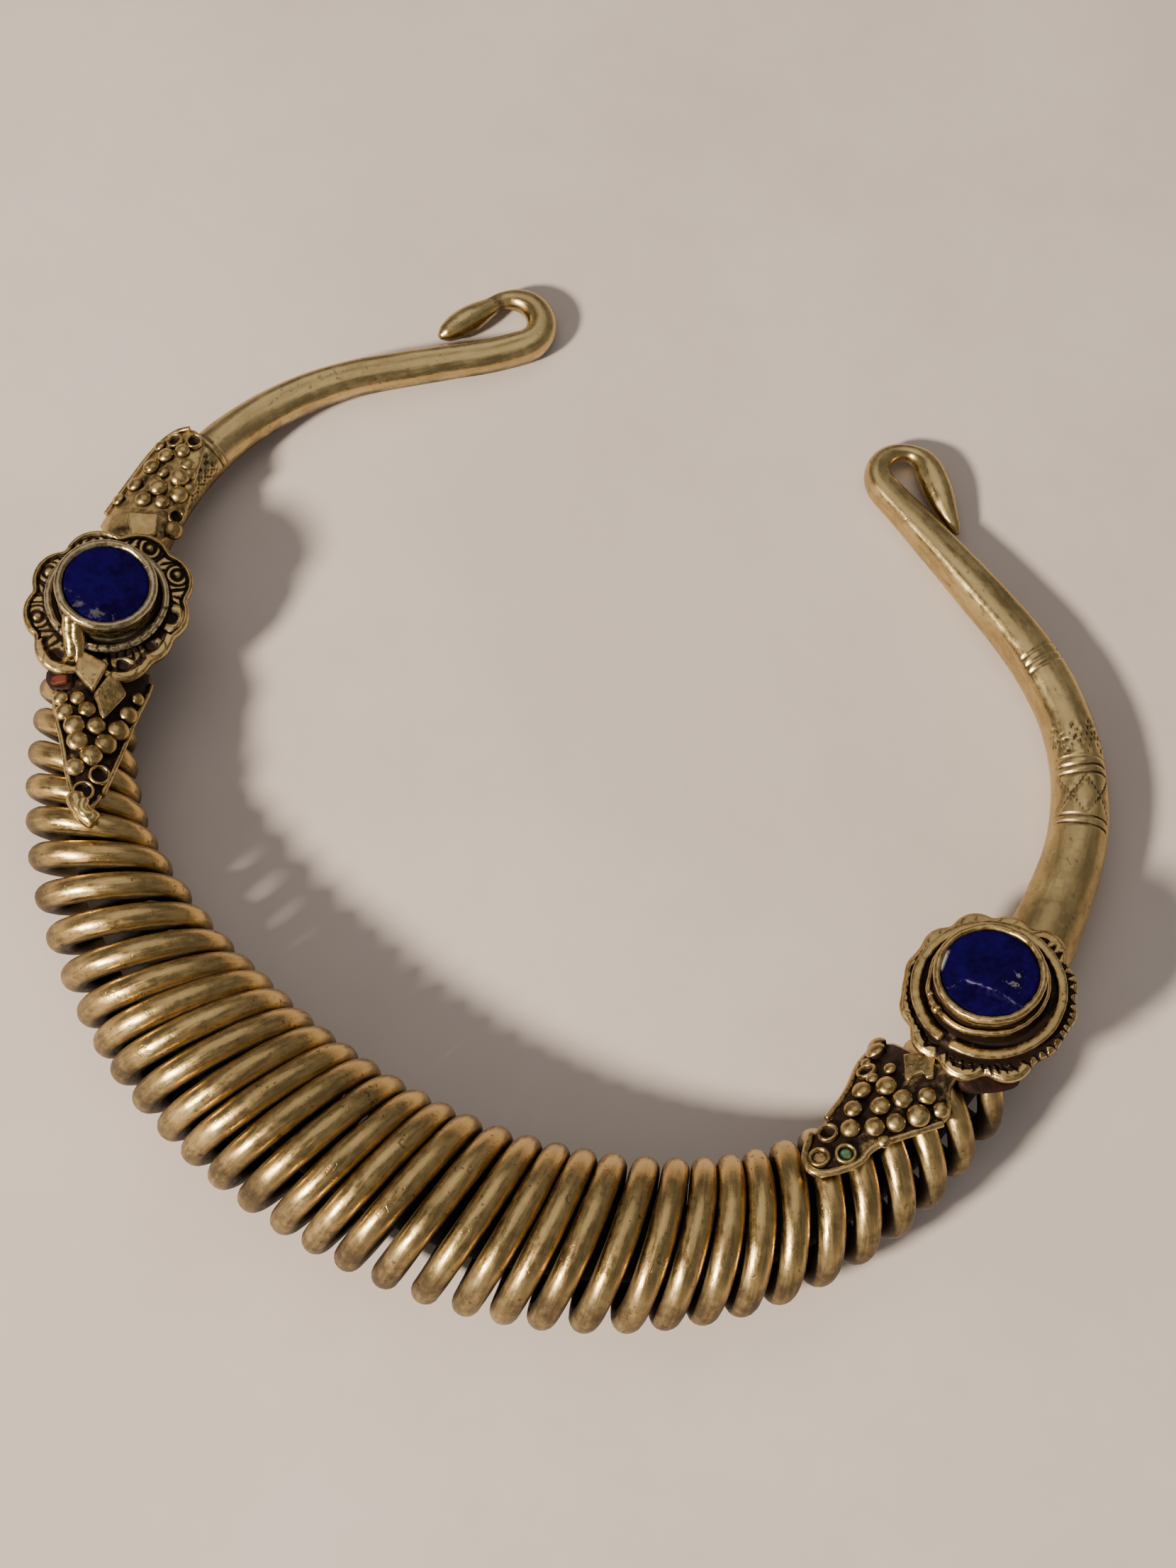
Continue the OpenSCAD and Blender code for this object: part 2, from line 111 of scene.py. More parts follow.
def axis(s):
    """Place and heading of the middle line, s along the ring."""
    x, y, h = (np.interp(s, AXIS[:, 0], AXIS[:, k]) for k in (1, 2, 3))
    return MID[0] + x, MID[1] + y, h


def rot(axis_name, deg):
    return np.array(Matrix.Rotation(math.radians(deg), 4, axis_name))


def move(x, y, z):
    return np.array(Matrix.Translation((x, y, z)))


LYING = (move(*SHIFT, BELLY + FLOOR_GAP) @ rot("X", -math.degrees(LEAN))
         @ move(0, -MID[1], 0))


def setting_matrix(foot, lean):
    return LYING @ move(*foot) @ rot("X", -lean[0]) @ rot("Y", lean[1])


def seat_matrix(seat):
    return LYING @ move(*seat[0]) @ rot("Z", seat[1]) @ rot("X", seat[2]) @ rot("Y", seat[3])


def soft(x, lo, hi):
    t = np.clip((np.asarray(x, float) - lo)/(hi - lo), 0, 1)
    return t*t*(3 - 2*t)


def fade(x, lo, hi):
    return 1 - soft(x, lo, hi)


def waves(x, seed, terms=5):
    """A smooth made-up wobble of about -1 to 1."""
    g = np.random.default_rng(seed)
    f, p, a = g.uniform(0.4, 2.2, terms), g.uniform(0, 6.28, terms), g.uniform(0.3, 1, terms)
    return sum(a[k]*np.sin(f[k]*x + p[k]) for k in range(terms))/a.sum()


# Meshes: each part is a bmesh in millimetres with a value per point for how worn it is, which on
# the spring wire also holds painted shade
def new_part():
    part = bmesh.new()
    part.verts.layers.float.new("wear_and_shade")
    part.loops.layers.uv.new("UVMap")
    return part


def points_of(part):
    """Places and wear values of a part's points."""
    layer = part.verts.layers.float["wear_and_shade"]
    return np.array([v.co for v in part.verts]), np.array([v[layer] for v in part.verts])


def put_points(part, places, wear_and_shade):
    layer = part.verts.layers.float["wear_and_shade"]
    for vert, place, value in zip(part.verts, places.tolist(), wear_and_shade.tolist()):
        vert.co, vert[layer] = place, value
    return part


def new_object(name, data):
    obj = bpy.data.objects.new(name, data)
    bpy.context.scene.collection.objects.link(obj)
    return obj


class Shape:
    """One piece, joined from parts."""

    def __init__(self):
        self.bm = new_part()

    def add(self, part, matrix):
        bmesh.ops.transform(part, matrix=Matrix(matrix.tolist()), verts=part.verts)
        held = bpy.data.meshes.new("held")
        part.to_mesh(held)
        part.free()
        self.bm.from_mesh(held)
        bpy.data.meshes.remove(held)

    def build(self, name, material, slot, *replaces):
        bmesh.ops.scale(self.bm, vec=(MM, MM, MM), verts=self.bm.verts)
        mesh = bpy.data.meshes.new(name)
        self.bm.to_mesh(mesh)
        self.bm.free()
        mesh.polygons.foreach_set("use_smooth", [True]*len(mesh.polygons))
        mesh.materials.append(material)
        obj = new_object(name, mesh)
        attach(obj, "root")
        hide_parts(*replaces)


def single(part, matrix, *about):
    """A piece of one part; about is what build() takes."""
    shape = Shape()
    shape.add(part, matrix)
    shape.build(*about)


def skin(rows, wear_and_shade, uv=None, ring=False):
    """Bends a flat grid over rows of points, each closed round the bar.

    The end rows are filled, or joined to each other for a ring. A uv map has one column more,
    for the second side of the seam.
    """
    rows, wear_and_shade = (np.concatenate([g, g[:, :1]], 1)
                  for g in (rows, np.broadcast_to(wear_and_shade, rows.shape[:2])))
    if ring:
        rows, wear_and_shade = (np.concatenate([g, g[:1]]) for g in (rows, wear_and_shade))
    n, m = rows.shape[:2]
    part = new_part()
    bmesh.ops.create_grid(part, x_segments=m - 1, y_segments=n - 1, size=1)
    put_points(part, rows.reshape(-1, 3), wear_and_shade.reshape(-1))
    part.verts.ensure_lookup_table()
    if uv is not None:
        layer, table = part.loops.layers.uv.active, uv.reshape(-1, 2).tolist()
        part.verts.index_update()
        for face in part.faces:
            for loop in face.loops:
                loop[layer].uv = table[loop.vert.index]
    seam = {k for i in range(n) for k in (i*m, i*m + m - 1)}
    seam |= set(range(m)) | set(range((n - 1)*m, n*m))
    bmesh.ops.remove_doubles(part, verts=[part.verts[k] for k in sorted(seam)], dist=SAME)
    bmesh.ops.holes_fill(part, edges=[e for e in part.edges if e.is_boundary], sides=0)
    bmesh.ops.recalc_face_normals(part, faces=part.faces)
    return part


def tube(path, radius, sides, wear_and_shade):
    """A round wire along a path of points; wear is below and on top."""
    ahead = np.gradient(path, axis=0)
    side = np.cross(ahead, (0, 0, 1.0))
    ahead, side = (g/np.linalg.norm(g, axis=1)[:, None] for g in (ahead, side))
    top = np.cross(side, ahead)
    b = np.linspace(0, 2*np.pi, sides, endpoint=False)
    v = (path[:, None] + radius[:, None, None]*(np.cos(b)[None, :, None]*top[:, None]
                                                - np.sin(b)[None, :, None]*side[:, None]))
    return skin(v, wear_and_shade[0] + (wear_and_shade[1] - wear_and_shade[0])*soft(np.cos(b), -0.6, 0.7))


def lathe(rows, steps, wobble, seed, torn=None):
    """Spins a profile of (radius, height, wear) rows that starts and ends on the axis.

    torn is (lowest height, amount): above that height the metal has an uneven hammered edge.
    """
    part = new_part()
    row = part.verts.layers.float.new("row")
    layer = part.verts.layers.float["wear_and_shade"]
    line = [part.verts.new((r, 0, z)) for r, z, _ in rows]
    for k, vert in enumerate(line):
        vert[layer], vert[row] = rows[k][2], k - 1
    edges = [part.edges.new(pair) for pair in zip(line, line[1:])]
    bmesh.ops.spin(part, geom=line + edges, cent=(0, 0, 0), axis=(0, 0, 1), angle=2*math.pi,
                   steps=steps, use_merge=True)
    bmesh.ops.remove_doubles(part, verts=part.verts, dist=SAME)
    bmesh.ops.recalc_face_normals(part, faces=part.faces)
    k = np.array([v[row] for v in part.verts])
    part.verts.layers.float.remove(row)
    v, w = points_of(part)
    turn, r = polar(v)
    a, z = np.radians(turn), v[:, 2]
    dr = wobble*(waves(2*np.cos(a) + k*0.12, seed) + waves(2.3*np.sin(a) + k*0.1, seed + 1))
    rr = r + dr*np.minimum(1, r/3)
    zz = z + 0.7*wobble*waves(3*np.sin(a + 0.5) + 0.1*k, seed + 2)*(z > 1)
    if torn:
        up = soft(z, torn[0], torn[0] + 0.5)*torn[1]
        rr = rr + up*(0.55*waves(9*np.cos(a) + 5*np.sin(a), seed + 4)
                      + 0.45*waves(17*np.sin(a) + 0.5, seed + 5))
        zz = zz + up*(0.6*waves(8*np.sin(a) - 6*np.cos(a), seed + 6)
                      + 0.4*waves(19*np.cos(a) + 1.5, seed + 7))
    off_axis = r > 0.001
    rr, zz = np.where(off_axis, rr, 0), np.where(off_axis, zz, z)
    return put_points(part, np.stack([rr*np.cos(a), rr*np.sin(a), zz], 1), w)


def polar(v):
    """Angle in degrees round the axis, and distance from it."""
    return np.degrees(np.arctan2(v[:, 1], v[:, 0])), np.hypot(v[:, 0], v[:, 1])


def bead(r, z, size, a0, a1, n, low, high, z0, z1):
    """Profile rows on a round bead, angles in degrees; wear goes from low at z0 to high at z1."""
    t = np.radians(np.linspace(a0, a1, n))
    up = z + size*np.sin(t)
    return list(zip(r + size*np.cos(t), up, low + (high - low)*soft(up, z0, z1)))


def ball(r, squash=1.0, n=20, m=12, low=0.08):
    """A flattened ball, worn on top and with the wear value low below."""
    part = new_part()
    bmesh.ops.create_uvsphere(part, u_segments=n, v_segments=m, radius=r)
    v, _ = points_of(part)
    return put_points(part, v*(1, 1, squash), low + (1 - low)*soft(v[:, 2]/r, -0.05, 0.6))


# Materials
class Num:
    """A number or colour that comes out of a node."""

    def __init__(self, tree, socket):
        self.tree, self.socket = tree, socket

    def _op(self, op, *values):
        return self.tree.read("ShaderNodeMath", 0, dict(enumerate(values)), operation=op)

    def __add__(self, o): return self._op("ADD", self, o)
    def __radd__(self, o): return self._op("ADD", o, self)
    def __sub__(self, o): return self._op("SUBTRACT", self, o)
    def __rsub__(self, o): return self._op("SUBTRACT", o, self)
    def __mul__(self, o): return self._op("MULTIPLY", self, o)
    def __rmul__(self, o): return self._op("MULTIPLY", o, self)
    def __truediv__(self, o): return self._op("DIVIDE", self, o)
    def __abs__(self): return self._op("ABSOLUTE", self)

    def ramp(self, lo, hi):
        return self.tree.read("ShaderNodeMapRange", "Result",
                              {"Value": self, "From Min": lo, "From Max": hi},
                              interpolation_type="SMOOTHSTEP", clamp=True)


class Material:
    def __init__(self, name):
        self.mat = bpy.data.materials.new(name)
        self.mat.use_nodes = True
        self.t = self.mat.node_tree
        self.bsdf = self.t.nodes["Principled BSDF"]

    def node(self, kind, inputs, **props):
        n = self.t.nodes.new(kind)
        for k, value in props.items():
            setattr(n, k, value)
        for k, value in inputs.items():
            self.put(n.inputs[k], value)
        return n

    def read(self, kind, output, inputs, **props):
        return Num(self, self.node(kind, inputs, **props).outputs[output])

    def put(self, socket, value):
        if isinstance(value, Num):
            self.t.links.new(value.socket, socket)
        else:
            socket.default_value = value

    def mix(self, f, a, b):
        a, b = (k if isinstance(k, Num) else (*k, 1) for k in (a, b))
        return self.read("ShaderNodeMix", 2, {"Factor": f, 6: a, 7: b}, data_type="RGBA")

    def coords(self, kind):
        return self.read("ShaderNodeTexCoord", kind, {})

    def stretch(self, vector, scale):
        return self.read("ShaderNodeMapping", "Vector", {"Vector": vector, "Scale": scale})

    def noise(self, vector, scale, detail, rough):
        return self.read("ShaderNodeTexNoise", "Fac", {
            "Vector": vector, "Scale": scale, "Detail": detail, "Roughness": rough})

    def split(self, vector):
        n = self.node("ShaderNodeSeparateXYZ", {0: vector})
        return Num(self, n.outputs[0]), Num(self, n.outputs[1])

    def bump(self, height, strength, distance):
        n = self.node("ShaderNodeBump", {"Height": height, "Strength": strength,
                                         "Distance": distance})
        self.t.links.new(n.outputs["Normal"], self.bsdf.inputs["Normal"])

    def set(self, **values):
        for k, value in values.items():
            self.put(self.bsdf.inputs[k.replace("_", " ")], value)
        return self.mat


def brass(name, light, dark, grime_and_shade, rough=(0.20, 0.44), streak=None, pits=0.5, green=0.0,
          patina_and_shade_edge=(0.15, 0.62), matte=None, relief=0.00022):
    """Worn brass: bright where it is handled, brown to black in the recesses. On the spring wire
    the dark colour is also painted shade, where its point values are lowered for shade.
    """
    m = Material(name)
    p = m.coords("Object")
    wear_and_shade = m.read("ShaderNodeAttribute", "Fac", {}, attribute_name="wear_and_shade")
    broad = m.noise(p, 95, 4, 0.6)
    fine = m.noise(p, 620, 5, 0.62)
    tiny = m.noise(p, 2600, 2, 0.5)
    if streak is None:
        lines = m.noise(m.stretch(p, (1, 1, 3)), 900, 3, 0.6)
        dents = m.noise(p, 330, 2, 0.5)
    else:
        uv = m.coords("UV")
        lines = m.noise(m.stretch(uv, streak), 1.0, 4, 0.68)
        dents = m.noise(m.stretch(uv, (streak[0]*0.3, streak[1]*1.7, 1)), 1.0, 3, 0.55)
    tone = (0.34*broad + 0.22*fine + 0.44*lines).ramp(0.40, 0.61)
    metal = m.mix(tone, dark, light)
    keep = (wear_and_shade + 0.55*(broad - 0.5) + 0.42*(fine - 0.5) + 0.3*(lines - 0.5)).ramp(*patina_and_shade_edge)
    colour = m.mix(keep, grime_and_shade, metal)
    hole = (m.noise(p, 1500, 2, 0.4)*0.6 + m.noise(p, 330, 3, 0.6)*0.6).ramp(0.735, 0.775)
    speck = hole*pits
    colour = m.mix(speck, colour, (0.035, 0.016, 0.008))
    if green:
        spot = (m.noise(p, 120, 3, 0.5)*0.65 + m.noise(p, 700, 3, 0.6)*0.35).ramp(0.63, 0.69)
        colour = m.mix(spot*green, colour, (0.09, 0.12, 0.05))
    worn = rough[0] + (rough[1] - rough[0])*(0.4*fine + 0.6*lines).ramp(0.36, 0.64)
    if matte:
        dull = 1 - m.split(uv)[1].ramp(*matte)
        worn = worn + dull*(0.08 + 0.22*broad)
        colour = m.mix(dull*fine.ramp(0.42, 0.62)*0.45, colour, (0.23, 0.165, 0.085))
    m.bump(dents*0.75 + broad*0.4 + fine*0.3 + lines*0.34 + tiny*0.05 - hole*0.35*pits, 0.42,
           relief)
    return m.set(Base_Color=colour, Roughness=worn + 0.25*(1 - keep) + 0.2*speck,
                 Metallic=0.15 + 0.85*keep, Specular_IOR_Level=0.2)


# on the spring wire the dark colour is patina and also painted shade on the tips, lower side and
# flanks
WIRE_METAL = brass("worn_brass_wire_and_shade", (0.63, 0.435, 0.178), (0.39, 0.268, 0.11),
                   (0.045, 0.027, 0.012), rough=(0.21, 0.40), streak=(20, 0.22, 1), pits=0.55,
                   green=0.4, patina_and_shade_edge=(0.10, 0.78), relief=0.00024)
ARM_METAL = brass("worn_brass_arm", (0.63, 0.475, 0.215), (0.42, 0.305, 0.13),
                  (0.05, 0.03, 0.014), rough=(0.20, 0.40), streak=(18, 0.11, 1), pits=0.35,
                  matte=(112, 150))
PLATE_METAL = brass("tarnished_brass", (0.61, 0.440, 0.195), (0.36, 0.242, 0.092),
                    (0.019, 0.009, 0.0045), rough=(0.20, 0.44), pits=0.45,
                    patina_and_shade_edge=(0.25, 0.56), relief=0.0003)
SOLDER = brass("solder", (0.74, 0.54, 0.22), (0.46, 0.32, 0.12), (0.035, 0.018, 0.008),
               rough=(0.17, 0.34), pits=0.3, patina_and_shade_edge=(0.15, 0.6), relief=0.0003)
RIM_METAL = brass("grey_bezel", (0.52, 0.425, 0.26), (0.33, 0.25, 0.13),
                  (0.012, 0.008, 0.006), rough=(0.20, 0.42), pits=0.4,
                  patina_and_shade_edge=(0.22, 0.55), relief=0.0003)


def lapis(name, vein):
    m = Material(name)
    p = m.coords("Object")
    x, y = m.split(m.coords("UV"))
    tone = (m.noise(p, 260, 4, 0.6)*0.6 + m.noise(p, 1100, 3, 0.6)*0.4).ramp(0.35, 0.68)
    colour = m.mix(tone, (0.0028, 0.0, 0.021), (0.0060, 0.0, 0.070))
    grain = m.noise(p, 900, 4, 0.7)
    if vein:
        wave = 0.10*(m.noise(p, 420, 3, 0.6) - 0.5)
        bow = y + 0.62 - 0.27*x.ramp(-0.66, -0.44) + 0.17*x.ramp(0.25, 0.85) + wave
        width = 0.014 + 0.040*m.noise(p, 200, 2, 0.5)
        near = 1 - (abs(bow)/width).ramp(0.25, 1.0)
        span = x.ramp(-0.74, -0.62)*(1 - 0.6*x.ramp(0.05, 0.35))*(1 - x.ramp(0.78, 0.88))
        haze = (1 - abs(bow + 0.05).ramp(0.02, 0.16))*grain.ramp(0.46, 0.70)*span
        colour = m.mix(haze*0.35, colour, (0.07, 0.06, 0.22))
        colour = m.mix(near*grain.ramp(0.42, 0.60)*span*0.7, colour, (0.23, 0.21, 0.42))
        chip = (0 - x).ramp(0.89, 0.97)*(1 - abs(y + 0.06).ramp(0.18, 0.30))
        colour = m.mix(chip*grain.ramp(0.36, 0.5)*0.85, colour, (0.42, 0.40, 0.38))
        near_right = (1 - abs(x - 0.58).ramp(0.05, 0.38))*(
            1 - abs(y - 0.02).ramp(0.10, 0.40))
        flecks = (m.noise(p, 1150, 4, 0.65) + near_right*0.14).ramp(0.69, 0.75)*0.75
    else:
        low = (0 - y).ramp(0.0, 0.75)
        flecks = (m.noise(p, 560, 5, 0.68) + low*0.17 - 0.04).ramp(0.64, 0.76)*0.55
    colour = m.mix(flecks, colour, (0.15, 0.145, 0.12))
    m.bump(grain*0.6 + m.noise(p, 250, 2, 0.5), 0.25, 0.00012)
    return m.set(Base_Color=colour, Roughness=0.34 + 0.2*grain, Specular_IOR_Level=0.03)


LAPIS_LEFT, LAPIS_RIGHT = lapis("lapis_flecks", False), lapis("lapis_vein", True)


def plain(name, a, b, scale, rough, depth=0.0002):
    m = Material(name)
    p = m.coords("Object")
    n = m.noise(p, scale, 5, 0.65)
    m.bump(n + 0.5*m.noise(p, scale*4, 3, 0.6), 0.5, depth)
    return m.set(Base_Color=m.mix(n.ramp(0.35, 0.65), a, b), Roughness=rough + 0.25*(n - 0.5),
                 Specular_IOR_Level=0.25)


RESIN = plain("dark_resin", (0.010, 0.0035, 0.002), (0.034, 0.010, 0.0045), 420, 0.6)
# nearly black: partly grime, partly painted shade for the inside of the coil
ROD_METAL = plain("rod_grime_and_shade", (0.004, 0.0025, 0.0015), (0.016, 0.009, 0.004), 500, 0.75)
RED = plain("red_chip", (0.07, 0.014, 0.007), (0.145, 0.032, 0.013), 700, 0.5)
GREEN = plain("green_inlay", (0.015, 0.05, 0.02), (0.10, 0.19, 0.09), 900, 0.35)
CLOTH = plain("pale_floor", (0.68, 0.58, 0.505), (0.755, 0.65, 0.575), 9, 0.85, 0.0006)


# Spring and rod
def read_rows(rows, x):
    return np.interp(x, *np.array(rows, float).T)


def smooth_rows(rows, x, width):
    """Reads a table with its corners rounded."""
    return np.mean([read_rows(rows, x + d) for d in np.linspace(-width, width, 9)], axis=0)


def spring():
    steps, sides = 46, 18
    n = round(TURNS*steps) + 1
    turn = np.linspace(0, TURNS, n)
    edge = np.minimum(turn, TURNS - turn)
    inner = soft(edge, 0, 1)
    s = smooth_rows(TURN_PLACE, turn, 1.0)*inner + read_rows(TURN_PLACE, turn)*(1 - inner)
    outer = smooth_rows(COIL_R, s, 6) + 0.08*waves(turn*0.9, 3)
    a = 2*np.pi*turn
    s = s + 0.12*waves(turn*2.1, 5)*np.cos(a)
    x, y, h = axis(s - SLANT/2*np.cos(a) + TOP_SHIFT*np.sin(a))

    def middle(d):
        r, up = outer - d/2, FLAT*(outer - WIRE_D/2) + WIRE_D/2 - d/2
        return np.stack([x + r*np.cos(a)*np.sin(h), y - r*np.cos(a)*np.cos(h), up*np.sin(a)], 1)

    # thicker towards the middle of the front, where neighbouring turns just touch
    thick = read_rows(WIRE_ROWS, s)
    p = middle(thick)
    room = CLOSE*np.linalg.norm(p[steps:] - p[:-steps], axis=1)
    thick[:-steps] = np.minimum(thick[:-steps], room)
    thick[steps:] = np.minimum(thick[steps:], room)
    thick = np.convolve(np.pad(thick, 3, "edge"), np.ones(7)/7, "valid")
    p = middle(thick)
    _, _, h0 = axis(s)
    o = np.stack([np.cos(a)*np.sin(h0), -np.cos(a)*np.cos(h0), np.sin(a)], 1)
    ahead = np.gradient(p, axis=0)
    ahead /= np.linalg.norm(ahead, axis=1)[:, None]
    out = o - (o*ahead).sum(1)[:, None]*ahead
    out /= np.linalg.norm(out, axis=1)[:, None]
    side = np.cross(out, ahead)
    length = np.concatenate([[0], np.cumsum(np.linalg.norm(np.diff(p, axis=0), axis=1))])
    b = np.linspace(-np.pi, np.pi, sides + 1)
    rad = thick/2*(1 + 0.010*waves(length*0.11, 9) + 0.008*waves(length*0.41, 10))
    # worn a little flat on the outside
    shape = 1 - 0.02*soft(np.cos(b), 0.75, 1.0)
    v = p[:, None] + (rad[:, None]*shape)[:, :, None]*(
        np.cos(b)[None, :, None]*out[:, None] + np.sin(b)[None, :, None]*side[:, None])
    # painted shade: the outer tips and the lower side of each turn are made darker, as they are
    # less lit
    top = soft(np.sin(a) - 0.3*np.cos(a), 0.1, 1.0)[:, None]
    # the sides that face the next turns are darker, one side more than the other: partly patina,
    # partly painted shade
    flank_patina_and_shade = soft(np.cos(b - 0.15), -0.10, 0.62)
    w = (0.05 + 0.95*flank_patina_and_shade)[None, :]*(0.30 + 0.70*top)
    uv = np.stack(np.broadcast_arrays((b/(2*np.pi) + 0.5)[None, :], length[:, None]), 2)
    single(skin(v[:, :-1], w[:, :-1], uv), LYING, "spring_wire", WIRE_METAL, "wire_metal",
           *WIRE_NODES)


def rod():
    s = np.linspace(-102.2, 91.4, 240)
    x, y, _ = axis(s)
    room = FLAT*(read_rows(COIL_R, s) - WIRE_D/2) + WIRE_D/2 - read_rows(WIRE_ROWS, s) - 0.4
    # thicker under the front of the coil, so with its nearly black colour the gaps between the
    # turns read dark: partly grime, partly painted shade
    r = np.minimum(np.interp(s, (-80, -40, 0), (2.9, 3.9, 5.1)), room)
    p = np.stack([x, y, 0*x], 1)
    single(tube(p, r*(0.99 - 0.01*waves(s*0.9, 4)), 28, (0.14, 0.4)), LYING, "inner_rod",
           ROD_METAL, "wire_metal", "core_rod")


# Arms
def tooth(x):
    """A zigzag between 0 and 1."""
    return np.abs((x % 1.0) - 0.5)*2


def groove(d, half):
    """1 in the middle of a cut line, 0 beyond its half width."""
    return 1 - soft(np.abs(d), half*0.35, half)


def cuts_right(s, b):
    """Engraved lines of the right arm; b is the angle from the top, positive outwards."""
    u = b/np.radians(62)
    face = soft(1.02 - np.abs(u), 0, 0.05)
    cuts = [groove(s - k - 0.15*np.sin(3*b), 0.38)*face for k in (127.6, 128.9, 135.9, 137.2)]
    along = s - 132.4
    cuts += [groove((along - sign*(u - c)*6.2)*0.75, 0.42)*face*soft(3.3 - np.abs(along), 0, 0.2)
             for sign in (-1, 1) for c in (-0.5, 0.5)]
    zig = 139.2 + 3.0*tooth(1.5*u + 0.2)
    cuts += [groove((s - zig)*0.6, 0.36)*face, groove((s - zig - 1.9)*0.6, 0.30)*face,
             0.7*groove(s - 138.6, 0.3)*face]
    cuts += [0.6*groove(s - k - 0.3*b, 0.3)*soft(1.5 - np.abs(b - 0.5), 0, 0.3)
             for k in (154.6, 155.8, 157.2)]
    return np.max(cuts, axis=0)


def cuts_left(s, b):
    """Crossed lines of the left arm between its bands."""
    face = soft(1.5 - np.abs(b), 0, 0.25)*soft(s, 124.6, 125.4)*fade(s, 138.0, 139.2)
    cuts = [groove((tooth((s + sign*b*4.3)/1.75) - 1)*0.875, 0.30)*face for sign in (-1, 1)]
    cuts += [0.7*groove(s - k, 0.3)*soft(1.6 - np.abs(b), 0, 0.3) for k in (124.4, 139.6, 140.6)]
    return 0.8*np.max(cuts, axis=0)


def arm(name, rows, side, sides=56):
    rows = np.array(rows, float)
    root, tip = rows[2, 0], rows[-1, 0]
    # finer steps at the root, along the engraved part and at the hook
    s = np.concatenate([np.arange(rows[0, 0], root + 0.6, 0.15), np.arange(root, 123, 0.8),
                        np.arange(123, 159, 0.22), np.arange(159, 192, 0.8),
                        np.arange(192, tip, 0.3), [tip]])
    s = np.unique(s.round(6))
    body = s > root + 1
    r = smooth_rows(rows, s, 1.6)*np.sqrt(1 - 0.75*soft(s, tip - 1.6, tip + 0.02)**2)
    x, y, h = axis(side*s)
    b = np.linspace(-np.pi, np.pi, sides + 1)      # 0 = top, positive outwards
    uv = np.stack(np.broadcast_arrays(b/(2*np.pi) + 0.5, s[:, None]), 2)
    ss, bb = s[:, None], b[None, :-1]
    # the round bar turns four-sided with soft corners towards the hook
    blend = (soft(s, 138, 160)*fade(s, 192, 203))[:, None]
    if side > 0:
        ridge = 0.055*blend*np.cos(4*(bb + 0.62))
    else:
        ridge = 0.05*blend*np.cos(4*(bb - 0.5)) - 0.05*blend*np.exp(-((bb + 0.15)/0.22)**2)
    cut = (cuts_right if side > 0 else cuts_left)(ss, bb)
    wob = 0.012*waves(s*0.35, 20 + side)[:, None] + 0.006*waves(s*0.9, 30)[:, None]*np.cos(2*bb + 1)
    rr = r[:, None]*(1 + ridge + wob*body[:, None]) - 0.26*cut
    v = np.stack([x[:, None] + side*rr*np.sin(bb)*np.sin(side*h)[:, None],
                  y[:, None] - rr*np.sin(bb)*np.cos(h)[:, None], rr*np.cos(bb)], 2)
    top = soft(np.cos(bb), -0.5, 0.4)
    w = np.clip(0.45 + 0.55*top - 0.95*cut, 0, 1)*np.ones_like(rr)
    w = w*(1 - 0.75*np.exp(-((s - root)/1.2)**2))[:, None]
    if side < 0:
        w = w*np.interp(s, (104, 125, 150, 200), (0.48, 0.52, 0.62, 0.66))[:, None]
    neck = 204.5 if side > 0 else 209.5
    w = w*(1 - 0.5*np.exp(-((s - neck)/1.3)**2))[:, None]
    single(skin(v, w, uv), LYING, name + "_bar", ARM_METAL, "arm_metal", name)


# Medallions
def outline_radius(a, core, rows, r):
    """Radius of a scalloped outline at angle a (radians)."""
    best = np.full(a.shape, float(core))
    for turn, reach in rows:
        d = (a - math.radians(turn) + np.pi) % (2*np.pi) - np.pi
        q = r*r - (reach*np.sin(d))**2
        hit = (q > 0) & (np.abs(d) < 1.2)
        best = np.where(hit, np.maximum(best, reach*np.cos(d) + np.sqrt(np.clip(q, 0, None))), best)
    return best


def plate(shape, matrix, lobes, relief, inner=6.0, steps=480, rows=44):
    """A cast plate: a polar grid with a relief on top."""
    a = np.linspace(0, 2*np.pi, steps, endpoint=False)
    edge = outline_radius(a, *lobes)
    k = np.array([edge[(np.arange(steps) + d) % steps] for d in range(-4, 5)])
    edge = k.mean(0) - 0.06 + 0.06*waves(7*np.cos(a), 61) + 0.05*waves(9*np.sin(a), 62)
    t = np.linspace(0, 1, rows)**0.8
    rr = inner + (edge[None, :] - 0.30 - inner)*t[:, None]
    height, wear_and_shade = relief(rr, a[None, :]*np.ones_like(rr), edge[None, :]*np.ones_like(rr))
    v = [np.stack([rr*np.cos(a), rr*np.sin(a), height], 2)]
    w = [wear_and_shade]
    last = height[-1]
    for dr, q, k in ((0.16, 0.94, 1.0), (0.26, 0.72, 0.8), (0.30, 0.4, 0.4), (0.28, 0.12, 0.2),
                     (0.15, 0.0, 0.1)):
        r2 = edge - 0.30 + dr
        v.append(np.stack([r2*np.cos(a), r2*np.sin(a), last*q], 1)[None])
        w.append(np.full((1, steps), k)*np.clip(wear_and_shade[-1] + 0.3, 0, 1))
    v.append(np.stack([inner*np.cos(a), inner*np.sin(a), 0*a], 1)[None])
    w.append(np.full((1, steps), 0.1))
    shape.add(skin(np.concatenate(v), np.concatenate(w), None, True), matrix)


